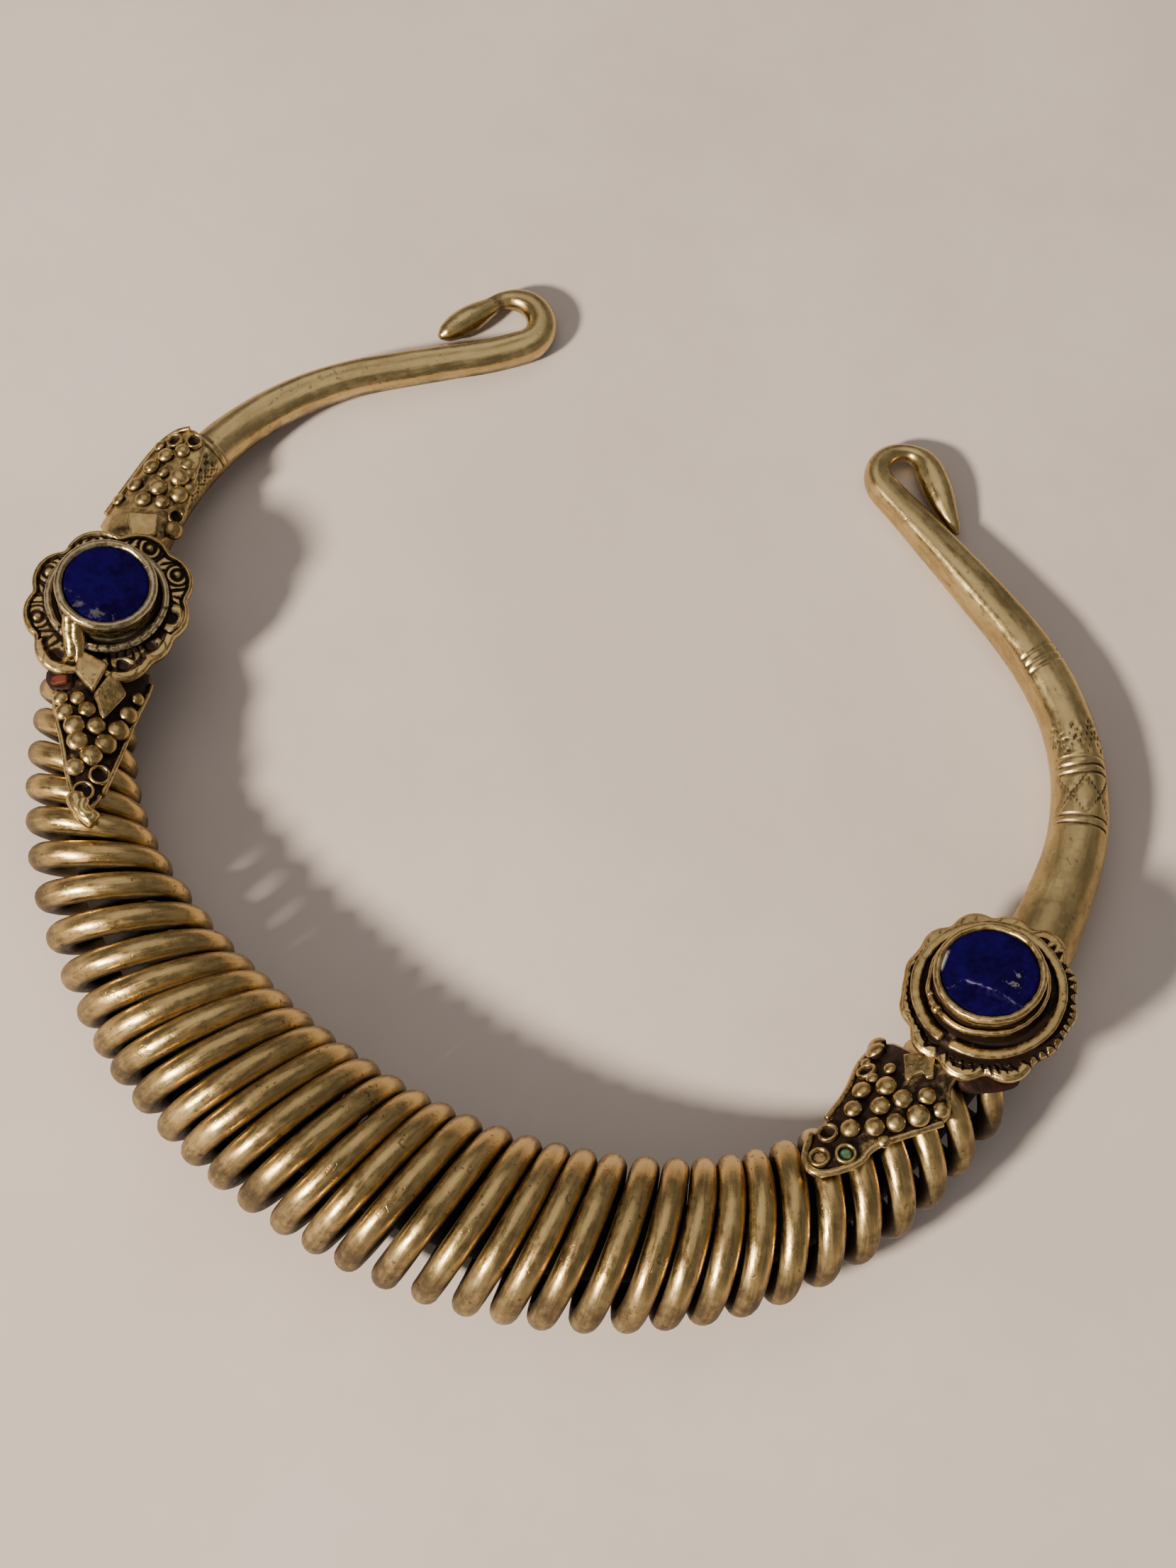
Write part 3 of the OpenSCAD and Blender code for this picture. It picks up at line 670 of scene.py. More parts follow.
def near_lobe(r, a, rows, beyond=0.0):
    """Distance to the nearest lobe, the sideways and outward offsets from it, and which it is."""
    best = np.full(r.shape, 99.0)
    du, dv = np.zeros(r.shape), np.zeros(r.shape)
    which = np.zeros(r.shape, int)
    for i, (turn, reach) in enumerate(rows):
        c = math.radians(turn)
        out, across = r*np.cos(a - c) - reach - beyond, r*np.sin(a - c)
        d = np.hypot(out, across)
        hit = d < best
        best, du, dv, which = (np.where(hit, d, best), np.where(hit, across, du),
                               np.where(hit, out, dv), np.where(hit, i, which))
    return best, du, dv, which


def uneven(r, a, seed, amount):
    """Shifts the pattern a little, as hand work does."""
    x, y = r*np.cos(a), r*np.sin(a)
    return (r + amount*waves(0.9*x + 1.3*y, seed), a + amount/9*waves(1.2*y - 0.8*x, seed + 1))


def left_relief(r0, a0, edge):
    r, a = uneven(r0, a0, 71, 0.16)
    d, du, dv, which = near_lobe(r, a, LEFT_LOBES, 2.75)
    eyes = np.isin(which, (1, 2, 3, 4, 5))
    band = np.where(np.isin(which, (0, 7, 8)), 1.5, 0.75)
    border = 1 - soft(edge - r0, band*0.75, band*1.25)
    groove = soft(edge - r0, band*0.9, band*1.2)*fade(edge - r0, band*1.35, band*1.75)
    dot = np.sqrt(np.clip(1 - (d/0.62)**2, 0, 1))*eyes
    pit = soft(d, 0.55, 0.70)*fade(d, 0.95, 1.2)*eyes
    outer = soft(d, 1.55, 1.7)*fade(d, 1.85, 2.05)*eyes
    # between the lobes: dark strokes on a paler ground
    stroke = soft(np.sin(du*5.2 + 1.3*dv + which*1.7), 0.15, 0.7)*soft(d, 1.9, 2.2)*(1 - border)
    moon_d = np.hypot(du + 0.25, dv + 0.55)
    moon = soft(moon_d, 1.15, 1.35)*fade(d, 1.6, 1.85)*(1 - eyes)
    hole = fade(moon_d, 0.75, 1.05)*(1 - eyes)
    z = 1.0 + 0.24*border - 0.25*pit - 0.22*outer*(1 - border) - 0.22*stroke
    z = z + 0.12*moon - 0.35*hole + 0.32*dot - 0.14*groove - 0.35*fade(edge - r0, -0.1, 0.5)
    w = np.clip(0.60 + 0.45*border + 0.3*moon + 0.4*(dot > 0.3)
                - 0.85*pit - 0.75*outer*(1 - border) - 0.85*stroke - 1.0*hole - 0.6*groove, 0, 1)
    return z, w*(1 - 0.95*fade(r, 9.1, 9.7))


def right_relief(r0, a0, edge):
    r, a = uneven(r0, a0, 81, 0.10)
    d, du, dv, which = near_lobe(r, a, RIGHT_LOBES)
    turn = np.degrees((a + np.pi) % (2*np.pi) - np.pi)
    right = soft(turn, -128, -118)*fade(turn, 55, 70)
    # black teeth round the outside of the thick ring
    k = a*11.4/1.30 + 0.35*np.sin(5*a) + 0.2*np.sin(11*a)
    size = (1.30 + 0.50*waves(a*6.1, 83))*(0.2 + 0.8*right)
    reach = 11.0 + 0.12*waves(a*9, 84) + size*(1 - np.abs((k % 1.0) - 0.5)*2)**1.4
    black = 1 - soft(r, reach - 0.10, reach + 0.10)
    moon = (soft(np.hypot(du, dv + 0.95), 2.35, 2.5)*fade(np.hypot(du, dv + 0.35), 2.45, 2.65)
            * np.isin(which, (0, 1, 2))*(np.abs(du) < 1.7))
    leafy = fade(np.abs(du) + 0.9*np.abs(dv - 1.75), 0.5, 0.75)*(which == 1)
    cut = (fade(np.abs(np.hypot(du, dv + 0.35) - 2.1), 0.20, 0.40)
           * soft(np.abs(du), 0.10, 0.4)*(1 - right))
    gouge = 1 - soft(waves(5*du + 3*dv + which, 85), -0.75, -0.45)
    gouge = gouge*(1 - right)*fade(d, 2.9, 3.4)
    hollow = fade(np.hypot(0.85*du, dv + 0.1), 1.5, 1.9)*(which == 0)
    rim = soft(edge - r0, 0.0, 0.7)
    z = 0.75 + 0.55*rim - 0.30*black - 0.16*moon - 0.2*cut - 0.15*gouge + 0.12*leafy - 0.15*hollow
    w = np.clip(0.77 + 0.3*leafy - 1.0*black - 0.85*moon - 0.9*cut - 0.6*gouge - 0.95*hollow, 0, 1)
    return z, w


def ribbon(path, half_w, half_h, sides=18, power=0.55):
    """A flattened wire along a level path; half_w and half_h change along it."""
    side = np.cross(np.gradient(path, axis=0), (0, 0, 1.0))
    side /= np.linalg.norm(side, axis=1)[:, None]
    b = np.linspace(0, 2*np.pi, sides, endpoint=False)
    c, s = np.cos(b), np.sin(b)
    c, s = np.sign(c)*np.abs(c)**power, np.sign(s)*np.abs(s)**power
    v = (path[:, None] - (half_w[:, None]*s)[:, :, None]*side[:, None]
         + (half_h[:, None]*c)[:, :, None]*np.array([0, 0, 1.0]))
    return skin(v, 0.12 + 0.88*soft(np.cos(b), 0.1, 0.65))


def post(shape, matrix, radius, depth):
    """The dark lump that holds a medallion on its arm, hidden below the plate."""
    rows = [(0, -depth, 0.05), (radius*0.8, -depth, 0.05), (radius, -depth*0.6, 0.05),
            (radius*0.96, 0.4, 0.05), (0, 0.4, 0.05)]
    shape.add(lathe(rows, 72, 0.12, 12), matrix)


def left_setting():
    mat = setting_matrix(LEFT_FOOT, LEFT_LEAN)
    shp = Shape()
    post(shp, mat, 5.6, 3.4)
    plate(shp, mat, (10.2, LEFT_LOBES, 4.9), left_relief)
    rows = [(0, 0.3, 0), (8.1, 0.3, 0), (8.5, 0.9, 0), (8.45, 1.7, 0.15)]
    rows += bead(8.46, 2.45, 0.55, -50, 205, 12, 0.20, 0.58, 2.2, 2.7)
    rows += [(7.65, 2.1, 0.05), (7.3, 2.0, 0.05), (7.1, 2.3, 0.30), (7.09, 3.1, 0.55),
             (7.08, 4.2, 0.72), (7.05, 5.4, 0.85)]
    rows += bead(6.78, 6.15, 0.66, -35, 190, 13, 0.5, 1.0, 5.8, 6.5)
    rows += [(6.3, 5.6, 0.1), (6.3, 5.1, 0), (0, 5.1, 0)]
    cup = lathe(rows, 192, 0.05, 3, (1.8, 0.07))
    # the ring round the cup is notched like twisted wire at the front and the right
    v, w = points_of(cup)
    turn, r = polar(v)
    notch = ((np.sin(np.radians(turn)*34 + v[:, 2]*3) < -0.2) & (r > 8.0) & (v[:, 2] > 1.9)
             & (turn > -120) & (turn < 20))
    put_points(cup, v, np.where(notch, w*0.45, w))
    # a run of solder down the front of the cup, onto the plate
    drip = bent([(-2.6, -6.3, 5.4), (-2.0, -7.1, 4.2), (-1.6, -7.8, 3.2), (-0.9, -8.5, 2.5),
                 (-0.4, -9.5, 1.9), (0.3, -10.5, 1.5)], 2)
    n = np.linspace(0, 1, len(drip))
    solder = Shape()
    for k, (dx, dy, q) in enumerate(((0, 0, 1.0), (1.15, -0.2, 0.85))):
        width = q*(0.80 + 0.55*np.sin(np.pi*n) + 0.13*waves(n*6, 44 + k))
        solder.add(tube(drip[k*2:] + (dx, dy, -0.2*k), width[k*2:], 16, (0.56, 0.95)), mat)
    solder.build("left_setting_solder", SOLDER, "setting_metal", "left_medallion")
    shp.build("left_setting_plate", PLATE_METAL, "setting_metal", "left_medallion")
    single(cup, mat, "left_setting_cup", RIM_METAL, "setting_metal", "left_medallion")


def right_setting():
    mat = setting_matrix(RIGHT_FOOT, RIGHT_LEAN)
    shp = Shape()
    post(shp, mat, 6.6, 3.6)
    plate(shp, mat, (12.0, RIGHT_LOBES, 3.7), right_relief, inner=8.0)
    rows = [(0, 0.3, 0), (9.6, 0.3, 0), (9.9, 0.8, 0), (9.9, 1.7, 0.05), (9.5, 2.2, 0.22),
            (8.9, 2.0, 0.25), (8.3, 1.95, 0.24), (8.12, 2.3, 0.08), (8.1, 3.3, 0.12),
            (8.08, 4.4, 0.40)]
    rows += bead(7.98, 4.85, 0.36, -40, 190, 9, 0.5, 1.0, 4.6, 5.0)
    rows += [(7.55, 4.55, 0), (7.42, 4.8, 0.05), (7.45, 5.8, 0.30), (7.47, 6.6, 0.7)]
    rows += bead(7.2, 7.1, 0.55, -25, 190, 12, 0.55, 1.0, 6.8, 7.3)
    rows += [(6.8, 6.7, 0.1), (6.8, 6.05, 0), (0, 6.05, 0)]
    cup = lathe(rows, 224, 0.06, 8, (4.3, 0.13))
    # stepped folds and a blob of solder low on the left
    v, w = points_of(cup)
    turn, r = polar(v)
    low_left = soft(turn, -165, -150)*fade(turn, -100, -80)
    v[:, :2] *= (1 + 0.055*low_left*soft(r, 7.0, 7.6)*fade(v[:, 2], 4.6, 6.4))[:, None]
    shp.add(put_points(cup, v, w), mat)
    for x, y, z, q in ((-5.3, -6.6, 5.0, 0.75), (-6.2, -5.7, 4.7, 0.5), (-6.9, -4.6, 4.8, 0.55)):
        shp.add(ball(q, 0.8, low=0.54), mat @ move(x, y, z))
    # the thick ring is a flat band with an open joint
    n = 220
    a = np.radians(np.linspace(-107 + 3.2, -107 + 356.8, n))
    r = 10.0 + 0.09*waves(2*np.cos(a), 2) + 0.04*waves(7*np.sin(a), 3)
    path = np.stack([r*np.cos(a), r*np.sin(a), 2.40 + 0.07*waves(3*np.sin(a), 5)
                     + 0.03*waves(9*np.cos(a), 6)], 1)
    end = np.sqrt(np.clip(np.minimum(np.arange(n), np.arange(n)[::-1])/2.2 + 0.45, 0, 1))
    half = 0.74*end*(1 + 0.07*waves(a*8, 7) + 0.05*waves(a*19, 9))
    shp.add(ribbon(path, half, 0.62*end*(1 + 0.06*waves(a*10, 8))), mat)
    shp.build("right_setting_body", PLATE_METAL, "setting_metal", "right_medallion")


def stone(name, mat, radius, z0, height, material, node, seed):
    steps = 96
    a = np.linspace(0, 2*np.pi, steps, endpoint=False)
    wob = 0.035*waves(3*np.cos(a), seed) + 0.03*waves(4*np.sin(a), seed + 1)
    rows = [(0, 0.0), (0.97, 0.0), (1.0, 0.12), (1.0, height - 0.3), (0.985, height - 0.12),
            (0.955, height - 0.03), (0.9, height)]
    rows += [(k, height + 0.03*(1 - k)) for k in np.linspace(0.8, 0.08, 12)] + [(0, height + 0.03)]
    v = np.stack([np.stack([(radius - 0.04 + wob)*k*np.cos(a), (radius - 0.04 + wob)*k*np.sin(a),
                            z0 + z + 0*a], 1) for k, z in rows])
    uv = np.concatenate([v, v[:, :1]], 1)[:, :, :2]/radius
    single(skin(v, np.ones(v.shape[:2]), uv), mat, name, material, "lapis", node)


# Curved plates
def surface(seat, u, v, lift):
    """Point on the curved face of a plate."""
    r = seat[5] + lift
    a = np.arcsin(np.clip(np.asarray(u, float)/seat[5], -1, 1))
    return np.stack(np.broadcast_arrays(r*np.sin(a), v, seat[4] - seat[5] + r*np.cos(a)), -1)


def tilt(seat, u, v, lift=0.0):
    """Matrix of a small thing that stands on the curved face."""
    a = math.degrees(math.asin(max(-1, min(1, u/seat[5]))))
    return (move(0, v, seat[4] - seat[5]) @ rot("Y", a) @ move(0, 0, seat[5] + lift))


def inside(points, poly):
    """Which points lie inside an outline."""
    x, y = points[:, 0], points[:, 1]
    hit = np.zeros(len(points), bool)
    for (x0, y0), (x1, y1) in zip(poly, np.roll(poly, -1, 0)):
        cross = (y0 > y) != (y1 > y)
        hit ^= cross & (x < (x1 - x0)*(y - y0)/((y1 - y0) or 1e-9) + x0)
    return hit


def edge_distance(points, poly):
    best = np.full(len(points), 99.0)
    for p0, p1 in zip(poly, np.roll(poly, -1, 0)):
        d = p1 - p0
        t = np.clip(((points - p0) @ d)/(d @ d), 0, 1)
        best = np.minimum(best, np.linalg.norm(points - p0 - t[:, None]*d, axis=1))
    return best


def bent(points, rounds):
    """An open line of points with its corners cut, ends kept."""
    p = np.array(points, float)
    for _ in range(rounds):
        q = [p[0]]
        for a, b in zip(p, p[1:]):
            q += [0.75*a + 0.25*b, 0.25*a + 0.75*b]
        p = np.array(q + [p[-1]])
    return p


def rounded(poly, step=0.35, rounds=2, cut=0.2):
    """Outline with softened corners and even points."""
    p = np.array(poly, float)
    for _ in range(rounds):
        q = np.roll(p, -1, 0)
        p = np.stack([(1 - cut)*p + cut*q, cut*p + (1 - cut)*q], 1).reshape(-1, 2)
    out = []
    for a, b in zip(p, np.roll(p, -1, 0)):
        n = max(1, round(np.linalg.norm(b - a)/step))
        out += [a + (b - a)*k/n for k in range(n)]
    return np.array(out)


def sheet_mesh(shape, seat, mat, poly, thick, wear_and_shade=0.15, step=0.55, rough=0.06, lift=0.0):
    """A thin uneven plate that is cut to an outline and follows the curved face."""
    poly = rounded(poly)
    lo, hi = poly.min(0), poly.max(0)
    g = np.stack(np.meshgrid(np.arange(lo[0], hi[0], step), np.arange(lo[1], hi[1], step)), -1)
    g = g.reshape(-1, 2) + rng.uniform(-0.1, 0.1, (g.size//2, 2))
    g = g[inside(g, poly)]
    g = g[edge_distance(g, poly) > 0.3]
    pts = [Vector(p) for p in np.vstack([poly, g])]
    n = len(poly)
    out = delaunay_2d_cdt(pts, [(i, (i + 1) % n) for i in range(n)], [], 1, 1e-6)
    xy = np.array([(p.x, p.y) for p in out[0]])
    u, v = xy.T
    bump = rough*(waves(u*2.1 + v, 3) + waves(v*2.7 - u, 4))
    near = edge_distance(xy, poly)
    top = surface(seat, u, v, lift + bump*soft(near, 0.2, 0.8) - 0.12*fade(near, 0.0, 0.3))
    bottom = surface(seat, u, v, lift - thick)
    # the lower face first, then an extrusion of it that becomes the upper face
    part = new_part()
    which = part.verts.layers.float.new("which")
    layer = part.verts.layers.float["wear_and_shade"]
    points = [part.verts.new(place) for place in bottom]
    for k, vert in enumerate(points):
        vert[which], vert[layer] = k, 0.1
    for tri in out[2]:
        if inside(xy[list(tri)].mean(0)[None], poly)[0]:
            part.faces.new([points[k] for k in tri])
    upper = bmesh.ops.extrude_face_region(part, geom=part.faces[:])["geom"]
    upper_wear = wear_and_shade + 0.75*fade(near, 0.05, 0.45)
    for vert in upper:
        if isinstance(vert, bmesh.types.BMVert):
            k = round(vert[which])
            vert.co, vert[layer] = top[k], upper_wear[k]
    part.verts.layers.float.remove(which)
    bmesh.ops.recalc_face_normals(part, faces=part.faces)
    shape.add(part, mat)


def grain_on(shape, seat, mat, u, v, r):
    r = r*GRAIN_SIZE
    grain = ball(r, GRAIN_SQUASH)
    turn = rot("Z", float(rng.uniform(0, 360)))
    p, w = points_of(grain)
    p = p*(1 + 0.03*waves(p[:, 0]*2 + p[:, 1]*1.7, int(rng.integers(99)))[:, None])
    shape.add(put_points(grain, p, w), mat @ tilt(seat, u, v, 0.35*r) @ turn)


def cup_on(shape, seat, mat, u, v, r, wall=0.42, height=0.75, centre=0.0):
    rows = [(0, -0.3, 0), (r - 0.05, -0.3, 0.05), (r, 0.1, 0.1)]
    rows += bead(r - wall*0.55, height - 0.2, wall*0.55, 0, 180, 8, 0.7, 1.0, height - 0.2, height)
    rows += [(r - wall*1.1, 0.15, 0), (r - wall*1.4, 0.05 + centre*0.5, 0.3*(centre > 0)),
             (0, 0.05 + centre, 0.9*(centre > 0))]
    shape.add(lathe(rows, 28, 0.02, int(rng.integers(90))), mat @ tilt(seat, u, v))


def tile_on(shape, seat, mat, corners, rise, lift):
    """A flat little plate with soft edges; rise is its height over the face."""
    c = np.mean(corners, 0)
    p = rounded(corners, 0.4, 1, 0.07)
    inward = 2*(c - p)/np.linalg.norm(c - p, axis=1)[:, None]
    base, zero = -0.35 - lift, np.zeros(len(p))
    rings = [np.column_stack([zero, zero, zero + base])]
    for pull, z in ((0.0, base), (0.0, rise - 0.14), (0.07, rise - 0.03), (0.2, rise),
                    (0.6, rise - 0.02)):
        q = p + inward*pull
        rings.append(np.column_stack([q - c, z + 0.035*waves(q[:, 0]*2, 3)*(z > 0)]))
    rings.append(np.column_stack([zero, zero, zero + rise - 0.03]))
    w = np.array([0.0, 0.0, 0.5, 1.0, 1.0, 0.85, 0.9])[:, None]
    shape.add(skin(np.stack(rings), w), mat @ tilt(seat, c[0], c[1], lift))


def wire_on(shape, seat, mat, points, r, lift):
    """A wire with rounded ends that lies on the curved face."""
    p = bent(points, 3)
    path = surface(seat, p[:, 0], p[:, 1], lift)
    n = len(path)
    step = np.linalg.norm(path[1:] - path[:-1], axis=1).mean()
    k = np.minimum(np.arange(n), np.arange(n)[::-1])*step
    rad = r*np.sqrt(1 - (1 - np.clip(k/r + 0.12, 0, 1))**2)
    shape.add(tube(path, rad, 10, (0.35, 1.0)), mat)


# outlines of the leaves and of the resin beds, across and along the seat
LEFT_EDGE = [(-7.9, 1.6), (-7.6, 5.3), (-5.2, 11.3), (-3.7, 16.3), (-1.0, 23.9), (1.7, 27.4),
             (4.0, 22.0), (5.4, 13.4), (6.6, 9.6), (6.5, 7.3), (4.3, 7.1), (4.3, 2.6), (1.3, 1.0),
             (-2.0, 2.2)]
RIGHT_EDGE = [(11.0, 6.8), (8.5, 6.4), (5.2, 6.7), (2.0, 6.4), (-1.0, 5.4), (-3.4, 4.6),
              (-3.9, 7.2), (-6.4, 9.6), (-6.7, 11.4), (-4.7, 17.0), (-3.0, 21.4), (-3.9, 24.3),
              (-1.4, 29.9), (1.6, 29.8), (4.4, 25.6), (4.6, 22.3), (5.8, 17.1), (10.0, 11.4)]
ARM_EDGE = [(-6.9, -2.6), (-6.6, 6.0), (-6.2, 13.8), (-4.5, 17.8), (-2.1, 19.3), (0.8, 18.4),
            (2.1, 15.4), (3.0, 11.6), (4.2, 7.8), (5.2, 4.4), (3.4, -2.6)]
LEFT_BED = [(7.3, 3.2), (4.2, 3.2), (3.6, 5.0), (3.8, 7.2), (6.4, 7.0), (7.4, 5.2)]
RIGHT_BED = [(-3.6, 3.0), (-3.6, 5.4), (-4.6, 5.9), (-6.3, 4.9), (-8.0, 2.3), (-8.8, -0.4),
             (-8.4, -1.6), (-7.0, -1.2), (-5.6, 2.0)]
# grains: place on the leaf and radius; all are drawn a little larger, and flattened
GRAIN_SIZE, GRAIN_SQUASH = 1.18, 0.70
LEFT_GRAINS = [(5.3, 8.5, 1.0), (4.7, 10.8, 1.15), (3.3, 13.1, 1.35), (2.8, 15.6, 1.35),
               (0.9, 17.9, 1.4), (3.0, 19.7, 1.2), (-1.0, 15.9, 1.4), (0.4, 13.1, 1.2),
               (1.7, 10.5, 1.1), (3.0, 8.6, 0.95), (-2.7, 13.4, 1.4), (-4.1, 10.5, 1.2),
               (6.0, 7.6, 0.6), (-5.4, 7.4, 0.9)]
RIGHT_GRAINS = [(4.0, 16.1, 1.2), (1.9, 13.5, 1.3), (-1.0, 13.4, 1.2), (-2.8, 10.7, 1.1),
                (-5.2, 10.6, 1.0), (-4.0, 13.6, 1.4), (-2.8, 16.6, 1.2), (0.3, 16.3, 1.2),
                (2.6, 19.1, 1.15), (0.6, 21.6, 1.2), (-1.4, 19.1, 1.2), (3.9, 10.9, 0.8),
                (8.2, 9.3, 1.3), (-3.6, 19.6, 0.8), (9.4, 8.0, 1.25),
                (7.9, 11.6, 0.75), (4.6, 13.6, 0.8)]
ARM_GRAINS = [(-2.8, 12.9, 1.1), (-3.7, 10.3, 1.2), (1.0, 10.2, 1.3), (-4.4, 6.6, 1.1),
              (-0.8, 7.2, 1.25), (2.3, 7.7, 1.2), (-1.7, 4.4, 1.1), (0.9, 5.3, 1.0),
              (-5.6, 3.6, 0.9), (-1.0, 14.7, 1.0), (-1.6, 10.0, 0.8), (0.9, 12.8, 0.9),
              (-4.9, 14.6, 0.8), (4.3, 2.3, 1.25), (3.1, 9.6, 0.9), (1.9, 11.6, 0.8)]


def leaf(seat, edge, thick, wear_and_shade, grains, cup_r, cups, tiles, wires):
    """A granulated plate: sheet, grains, ring cups, flat tiles and border wires."""
    shp, mat = Shape(), seat_matrix(seat)
    sheet_mesh(shp, seat, mat, edge, thick, wear_and_shade)
    for u, v, r in grains:
        grain_on(shp, seat, mat, u, v, r)
    for u, v, centre in cups:
        cup_on(shp, seat, mat, u, v, cup_r, centre=centre)
    for rise, lift, *corners in tiles:
        tile_on(shp, seat, mat, corners, rise, lift)
    for r, lift, *points in wires:
        wire_on(shp, seat, mat, points, r, lift)
    return shp, mat


def leaves():
    shp, mat = leaf(
        LEFT_SEAT, LEFT_EDGE, 0.8, 0.21, LEFT_GRAINS, 1.6, [(-0.3, 20.8, 0), (1.8, 23.5, 0)],
        [(0.45, 1.15, (3.2, 0.9), (-1.1, 3.4), (0.9, 8.0), (3.6, 4.6)),
         (0.45, 0.7, (-1.6, 3.6), (1.05, 8.0), (-0.4, 12.3), (-3.7, 7.6))],
        [(0.42, 0.15, (-7.5, 4.0), (-7.3, 5.4), (-5.0, 11.3), (-3.5, 16.3), (-0.9, 23.7)),
         (0.42, 0.15, (5.6, 12.2), (5.0, 14.5), (4.0, 20.6), (3.3, 23.6), (1.7, 26.8),
          (0.4, 25.6))])
    # twisted strands of solder at the tip
    tip = Shape()
    wire_on(tip, LEFT_SEAT, mat, [(2.9, 23.8), (2.6, 25.3), (1.9, 26.4), (0.9, 27.5),
                                  (-0.1, 28.2)], 1.40, 0.4)
    wire_on(tip, LEFT_SEAT, mat, [(1.5, 24.9), (2.0, 26.3), (1.5, 27.4), (0.5, 27.5)], 0.80, 1.2)
    tip.build("left_leaf_solder", SOLDER, "setting_metal", "left_coil_leaf")
    shp.build("left_coil_leaf_piece", PLATE_METAL, "setting_metal", "left_coil_leaf")

    shp, mat = leaf(
        RIGHT_SEAT, RIGHT_EDGE, 0.8, 0.20, RIGHT_GRAINS, 1.5,
        [(2.4, 24.1, 0.0), (0.4, 27.6, 0.25), (-1.6, 24.7, 0.0), (6.3, 13.0, 0.0)],
        [(0.5, 0.0, (4.2, 8.1), (2.9, 6.6), (2.0, 6.9), (1.6, 5.2), (0.9, 5.2), (-0.2, 6.6),
          (-1.6, 8.1), (-1.0, 8.8), (-0.1, 8.4), (0.5, 9.6), (0.5, 10.7), (1.2, 10.8), (2.7, 9.3))],
        [(0.55, 0.1, (-6.5, 11.4), (-4.6, 17.0), (-2.9, 21.4), (-3.8, 24.3), (-1.3, 29.7),
          (1.6, 29.6), (4.3, 25.5)),
         (0.48, 0.1, (10.8, 7.2), (9.9, 11.3), (5.9, 17.0), (4.6, 22.4)),
         (0.75, 0.1, (9.6, 7.6), (8.9, 8.3), (8.6, 9.4), (7.6, 9.9))])
    cup_on(shp, RIGHT_SEAT, mat @ move(0, 0, 0.42), 2.2, 8.5, 0.55, 0.2, 0.22)
    shp.build("right_coil_leaf_piece", PLATE_METAL, "setting_metal", "right_coil_leaf")

    shp, _ = leaf(
        ARM_SEAT, ARM_EDGE, 0.7, 0.44, ARM_GRAINS, 1.35,
        [(3.6, 4.4, 0), (-0.3, 17.0, 0), (-3.0, 16.0, 0)],
        [(0.5, 0.35, (-2.6, 1.0), (1.55, 3.2), (3.1, 0.0), (0.6, -2.9))],
        [(0.45, 0.15, (-6.6, 1.0), (-6.4, 6.0), (-6.0, 13.7), (-4.4, 17.6), (-2.2, 19.0))])
    shp.build("left_arm_leaf_piece", PLATE_METAL, "setting_metal", "left_arm_leaf")


def small_parts():
    mat = seat_matrix(LEFT_SEAT) @ move(0.9, 5.95, 0) @ rot("Y", math.degrees(math.asin(4.6/8.4)))
    chip = ball(1.0, 1.0, 24, 16)
    v, w = points_of(chip)
    v = np.sign(v)*np.abs(v)**0.4*(1.25, 0.65, 0.40) + (0, 0, 8.43 + 0.40)
    single(put_points(chip, v, w), mat, "left_red_chip", RED, "red_chip", "left_chip")
    mat = seat_matrix(RIGHT_SEAT)
    rows = [(0, 0, 1), (0.8, 0, 1), (0.85, 0.25, 1), (0.6, 0.36, 1), (0, 0.42, 1)]
    single(lathe(rows, 24, 0.02, 4), mat @ tilt(RIGHT_SEAT, -1.6, 24.7), "right_green_inlay",
           GREEN, "green_inlay", "right_inlay")
    for name, seat, edge, lift in (("left", LEFT_SEAT, LEFT_BED, 0.35),
                                   ("right", RIGHT_SEAT, RIGHT_BED, 0.25)):
        shp = Shape()
        sheet_mesh(shp, seat, seat_matrix(seat), edge, 2.2, step=0.4, rough=0.10, lift=lift)
        shp.build(name + "_resin", RESIN, "resin", name + "_bed")


spring()
rod()
arm("left_arm", LEFT_ARM_R, -1)
arm("right_arm", RIGHT_ARM_R, 1)
left_setting()
right_setting()
stone("left_lapis", setting_matrix(LEFT_FOOT, LEFT_LEAN), 6.22, 5.12, 1.36, LAPIS_LEFT,
      "left_stone", 4)
stone("right_lapis", setting_matrix(RIGHT_FOOT, RIGHT_LEAN), 6.73, 6.07, 1.3, LAPIS_RIGHT,
      "right_stone", 6)
leaves()
small_parts()


# Floor, light and camera
FLOOR_HALF = 3.0


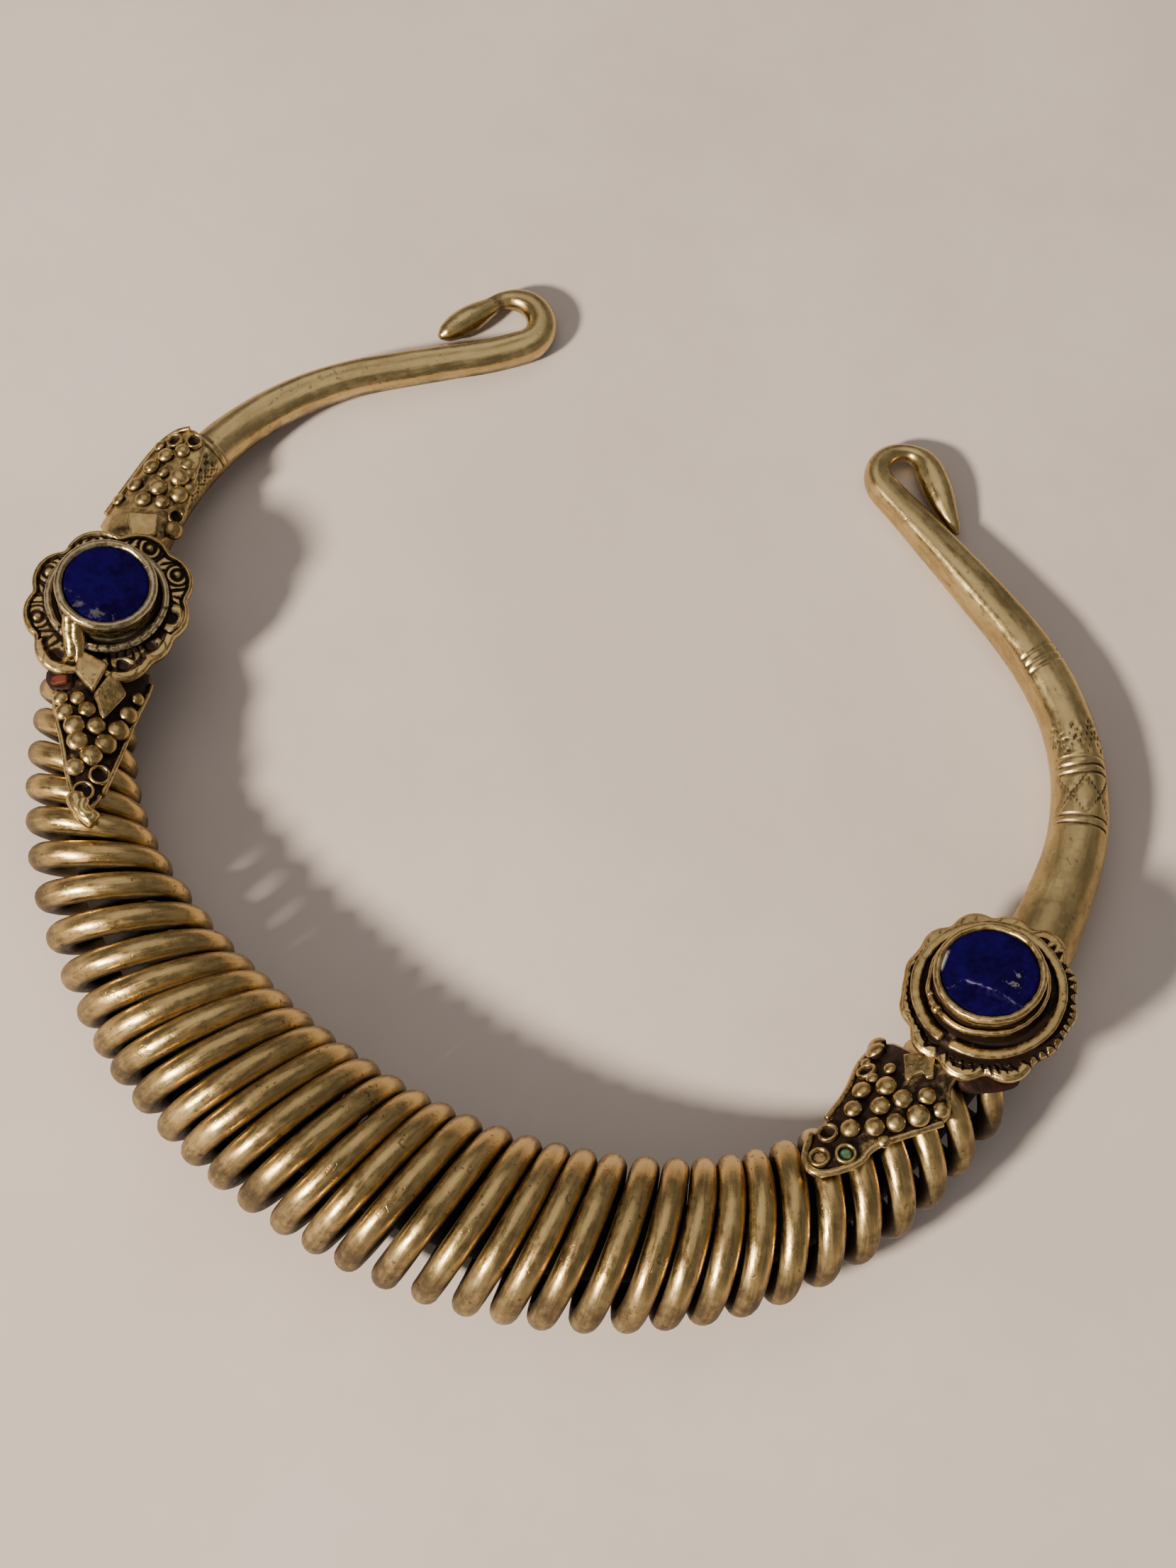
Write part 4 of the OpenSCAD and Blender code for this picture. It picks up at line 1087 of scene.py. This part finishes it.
def floor():
    sheet = bmesh.new()
    bmesh.ops.create_grid(sheet, x_segments=1, y_segments=1, size=FLOOR_HALF)
    mesh = bpy.data.meshes.new("floor")
    sheet.to_mesh(mesh)
    sheet.free()
    mesh.materials.append(CLOTH)
    new_object("floor", mesh)


# The photo's camera: turn of the picture on the floor, point it looks at, distance, height of
# the line of sight, roll, and focal length in pixels of the photo
TURN = Matrix.Rotation(math.radians(21.36), 4, "Z")
TARGET = Vector((-0.003957, 0.000584, 0))
DIST, EL, ROLL = 0.353, math.radians(70), math.radians(-3)
FOCAL, PHOTO_HEIGHT = 3320, 2212


def camera():
    cam = bpy.data.cameras.new("photo_camera")
    cam.sensor_width = 36
    cam.lens = cam.sensor_width*FOCAL/PHOTO_HEIGHT
    cam.clip_start = 0.01
    obj = new_object("photo_camera", cam)
    place = TURN @ (Vector((0, -DIST*math.cos(EL), DIST*math.sin(EL))) - TARGET)
    place += Vector((SHIFT[0], SHIFT[1] - MID[1], 0))*MM
    obj.matrix_world = (Matrix.Translation(place) @ TURN
                        @ Matrix.Rotation(math.pi/2 - EL, 4, "X") @ Matrix.Rotation(-ROLL, 4, "Z"))
    bpy.context.scene.camera = obj


def lamp(name, azimuth, height, dist, size, power, colour):
    """Area lamp aimed at the middle of the ring; azimuth is in the picture, 0 = right, 90 = up."""
    light = bpy.data.lights.new(name, "AREA")
    light.shape, light.size, light.energy, light.color = "DISK", size, power, colour
    obj = new_object(name, light)
    a, e = math.radians(azimuth), math.radians(height)
    d = TURN @ Vector((math.cos(e)*math.cos(a), math.cos(e)*math.sin(a), math.sin(e)))
    obj.location = d*dist
    obj.rotation_euler = d.to_track_quat("Z", "Y").to_euler()


floor()
camera()
lamp("key", 218, 36.5, 1.2, 0.16, 26.0, (1.0, 0.90, 0.77))
lamp("cool", 246, 13, 1.4, 0.16, 1.4, (0.55, 0.75, 1.0))
lamp("fill", 100, 65, 1.6, 1.6, 4.5, (1.0, 0.94, 0.90))
world = bpy.data.worlds.new("studio")
world.use_nodes = True
sky = world.node_tree.nodes["Background"]
sky.inputs["Color"].default_value = (0.83, 0.79, 0.78, 1)
sky.inputs["Strength"].default_value = 0.26
bpy.context.scene.world = world
